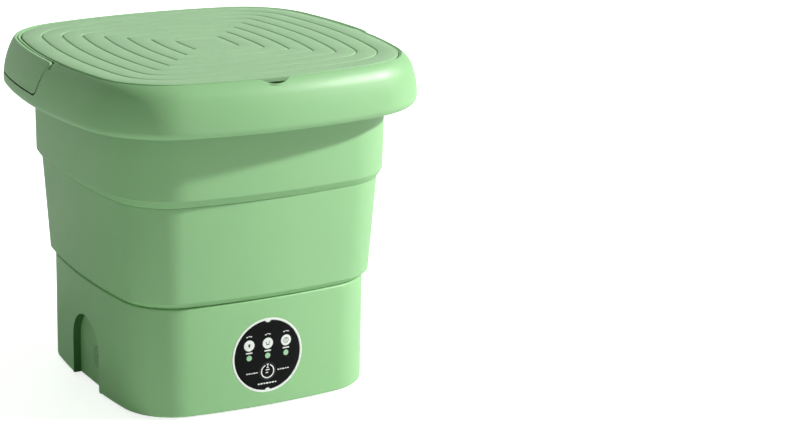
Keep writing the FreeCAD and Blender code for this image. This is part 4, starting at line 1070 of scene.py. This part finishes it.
def make_button():
    """The power button with its sign, and a thin black ring of painted shade in the gap round it."""
    disc = circle(6.75, BUTTON_PLACE, 72)
    button = flat_piece("button_disc", disc, -1.4, 0.05, "black_gloss", 0.2)
    # painted shade: a thin black ring laid over the gap between the button and the window
    gap_rows = [(6.8, -0.3), (6.8, 0.012), (7.1, 0.012), (7.1, -0.3)]
    gap = ring_piece("button_gap_painted_shade", BUTTON_PLACE, gap_rows, "black_plastic")
    stand_for(gap, "base", "black_plastic")
    stand_for(button, "power_button", "black_gloss", "power_button")
    arc_rows = [(4.75, 0.0), (4.75, 0.16), (5.6, 0.16), (5.6, 0.0)]
    sign = [ring_piece("power_ring", BUTTON_PLACE, arc_rows, "ink_white", 112, 428, 72)]
    for name, outline in (
        ("power_stroke", pill(0.8, 3.2, (0, -8.6))),
        ("power_dash", pill(3.4, 0.75, (0, -11.6))),
        ("power_dash", pill(2.2, 0.75, (-0.6, -13.8))),
    ):
        sign.append(flat_piece(name, outline, 0.0, 0.16, "ink_white"))
    stand_for(join("power_symbol", *sign), "power_button", "white_plastic", "power_sign")


# ---------------------------------------------------------------- scene

# The floor's glow toward the washer and toward the camera.
FLOOR_GLOW = (0.05, 0.75)


def make_floor():
    """A pale, faintly glowing sweep: a flat floor that curves up behind the washer."""
    columns = 24
    rows = [(-3500 + 250 * step, 0) for step in range(23)]
    rows += arc((2200, 900), 900, -90, 0, 12)
    rows += [(3100, 1800), (3100, 4200)]
    vertices = []
    for y, z in rows:
        for column in range(columns + 1):
            vertices.append((-5000 + 10000 * column / columns, y, z - 0.2))
    faces = []
    for row in range(len(rows) - 1):
        for column in range(columns):
            corner = row * (columns + 1) + column
            faces.append((corner, corner + 1, corner + columns + 2, corner + columns + 1))
    tree = MATERIALS["floor"].node_tree
    shader = tree.nodes["Principled BSDF"]
    shader.inputs["Emission Color"].default_value = (1, 1, 1, 1)
    path = tree.nodes.new("ShaderNodeLightPath")
    glow = span(tree, path.outputs["Is Camera Ray"], *FLOOR_GLOW, 0, 1)
    tree.links.new(glow, shader.inputs["Emission Strength"])
    floor = mesh_object("studio_floor", vertices, faces, "floor", 60)


def direction(azimuth, elevation):
    """The direction from the washer at an azimuth from its front and an elevation, in degrees."""
    turn = math.radians(azimuth)
    rise = math.radians(elevation)
    return Vector((
        math.sin(turn) * math.cos(rise), -math.cos(turn) * math.cos(rise), math.sin(rise)
    ))


def area_light(name, place, target, size, power):
    """A soft square lamp that faces a target."""
    lamp = bpy.data.lights.new(name, "AREA")
    lamp.shape = "SQUARE"
    lamp.size = size
    lamp.energy = power
    thing = bpy.data.objects.new(name, lamp)
    bpy.context.scene.collection.objects.link(thing)
    thing.location = place
    thing.rotation_euler = (Vector(target) - Vector(place)).to_track_quat("-Z", "Y").to_euler()


KEY_AZIMUTH = 61
KEY_HEIGHT = 34
KEY_DISTANCE = 4.0
KEY_POWER = 184
TOP_POWER = 5
SOFT_COLOUR = (0.82, 1, 0.78)
# the soft light's strength at the left and at the right
SOFT_STRENGTH = (0.22, 0.12)
SHEEN_STRENGTH = 0.35
WHITE = (1, 1, 1)


def background(tree, colour, strength):
    """A background shader of one colour."""
    node = tree.nodes.new("ShaderNodeBackground")
    node.inputs["Color"].default_value = (*colour, 1)
    node.inputs["Strength"].default_value = strength
    return node


def choice(tree, switch, otherwise, chosen):
    """One shader for the rays that a switch picks and another for the rest."""
    node = tree.nodes.new("ShaderNodeMixShader")
    tree.links.new(switch, node.inputs[0])
    tree.links.new(otherwise.outputs[0], node.inputs[1])
    tree.links.new(chosen.outputs[0], node.inputs[2])
    return node


def make_lights():
    """A key light from the right that only grazes the front, and soft light from all round. The
    world is white to the camera, and has its own strength in reflections."""
    world = bpy.data.worlds.new("studio")
    bpy.context.scene.world = world
    world.use_nodes = True
    tree = world.node_tree
    tree.nodes.clear()
    soft = background(tree, SOFT_COLOUR, 1.0)
    sheen = background(tree, WHITE, SHEEN_STRENGTH)
    shown = background(tree, WHITE, 1.0)
    place = tree.nodes.new("ShaderNodeTexCoord")
    parts = tree.nodes.new("ShaderNodeSeparateXYZ")
    tree.links.new(place.outputs["Generated"], parts.inputs[0])
    strength = span(tree, parts.outputs["X"], *SOFT_STRENGTH, -0.8, 0.8)
    tree.links.new(strength, soft.inputs["Strength"])
    path = tree.nodes.new("ShaderNodeLightPath")
    lit = choice(tree, path.outputs["Is Glossy Ray"], soft, sheen)
    seen = choice(tree, path.outputs["Is Camera Ray"], lit, shown)
    output = tree.nodes.new("ShaderNodeOutputWorld")
    tree.links.new(seen.outputs[0], output.inputs[0])
    key_place = tuple(direction(KEY_AZIMUTH, KEY_HEIGHT) * KEY_DISTANCE)
    area_light("key", key_place, (0, 0, 0.13), 0.26, KEY_POWER)
    area_light("top", (0.3, 0.2, 2.6), (0, 0, 0.1), 2.6, TOP_POWER)


CAMERA_AZIMUTH = -26
CAMERA_HEIGHT = 15.9
CAMERA_DISTANCE = 1.6686


def make_camera():
    """The viewing angle: slightly above the collar and to the left of the front."""
    camera = bpy.data.cameras.new("camera")
    thing = bpy.data.objects.new("camera", camera)
    bpy.context.scene.collection.objects.link(thing)
    bpy.context.scene.camera = thing
    camera.lens = 95.5
    camera.sensor_width = 36
    camera.clip_end = 50
    target = Vector((0, 0, 0.1375))
    place = target + direction(CAMERA_AZIMUTH, CAMERA_HEIGHT) * CAMERA_DISTANCE
    # the lens is shifted so that the washer stands left of the middle with upright edges
    camera.shift_x = 0.2440
    camera.shift_y = -0.0166
    thing.location = place
    thing.rotation_euler = (target - place).to_track_quat("-Z", "Y").to_euler()


make_camera()
finish_cad_nodes()
make_base()
make_rings()
make_collar()
make_handle()
make_lid()
make_panel()
make_button()
make_floor()
make_lights()
bpy.context.scene.view_settings.view_transform = "Standard"
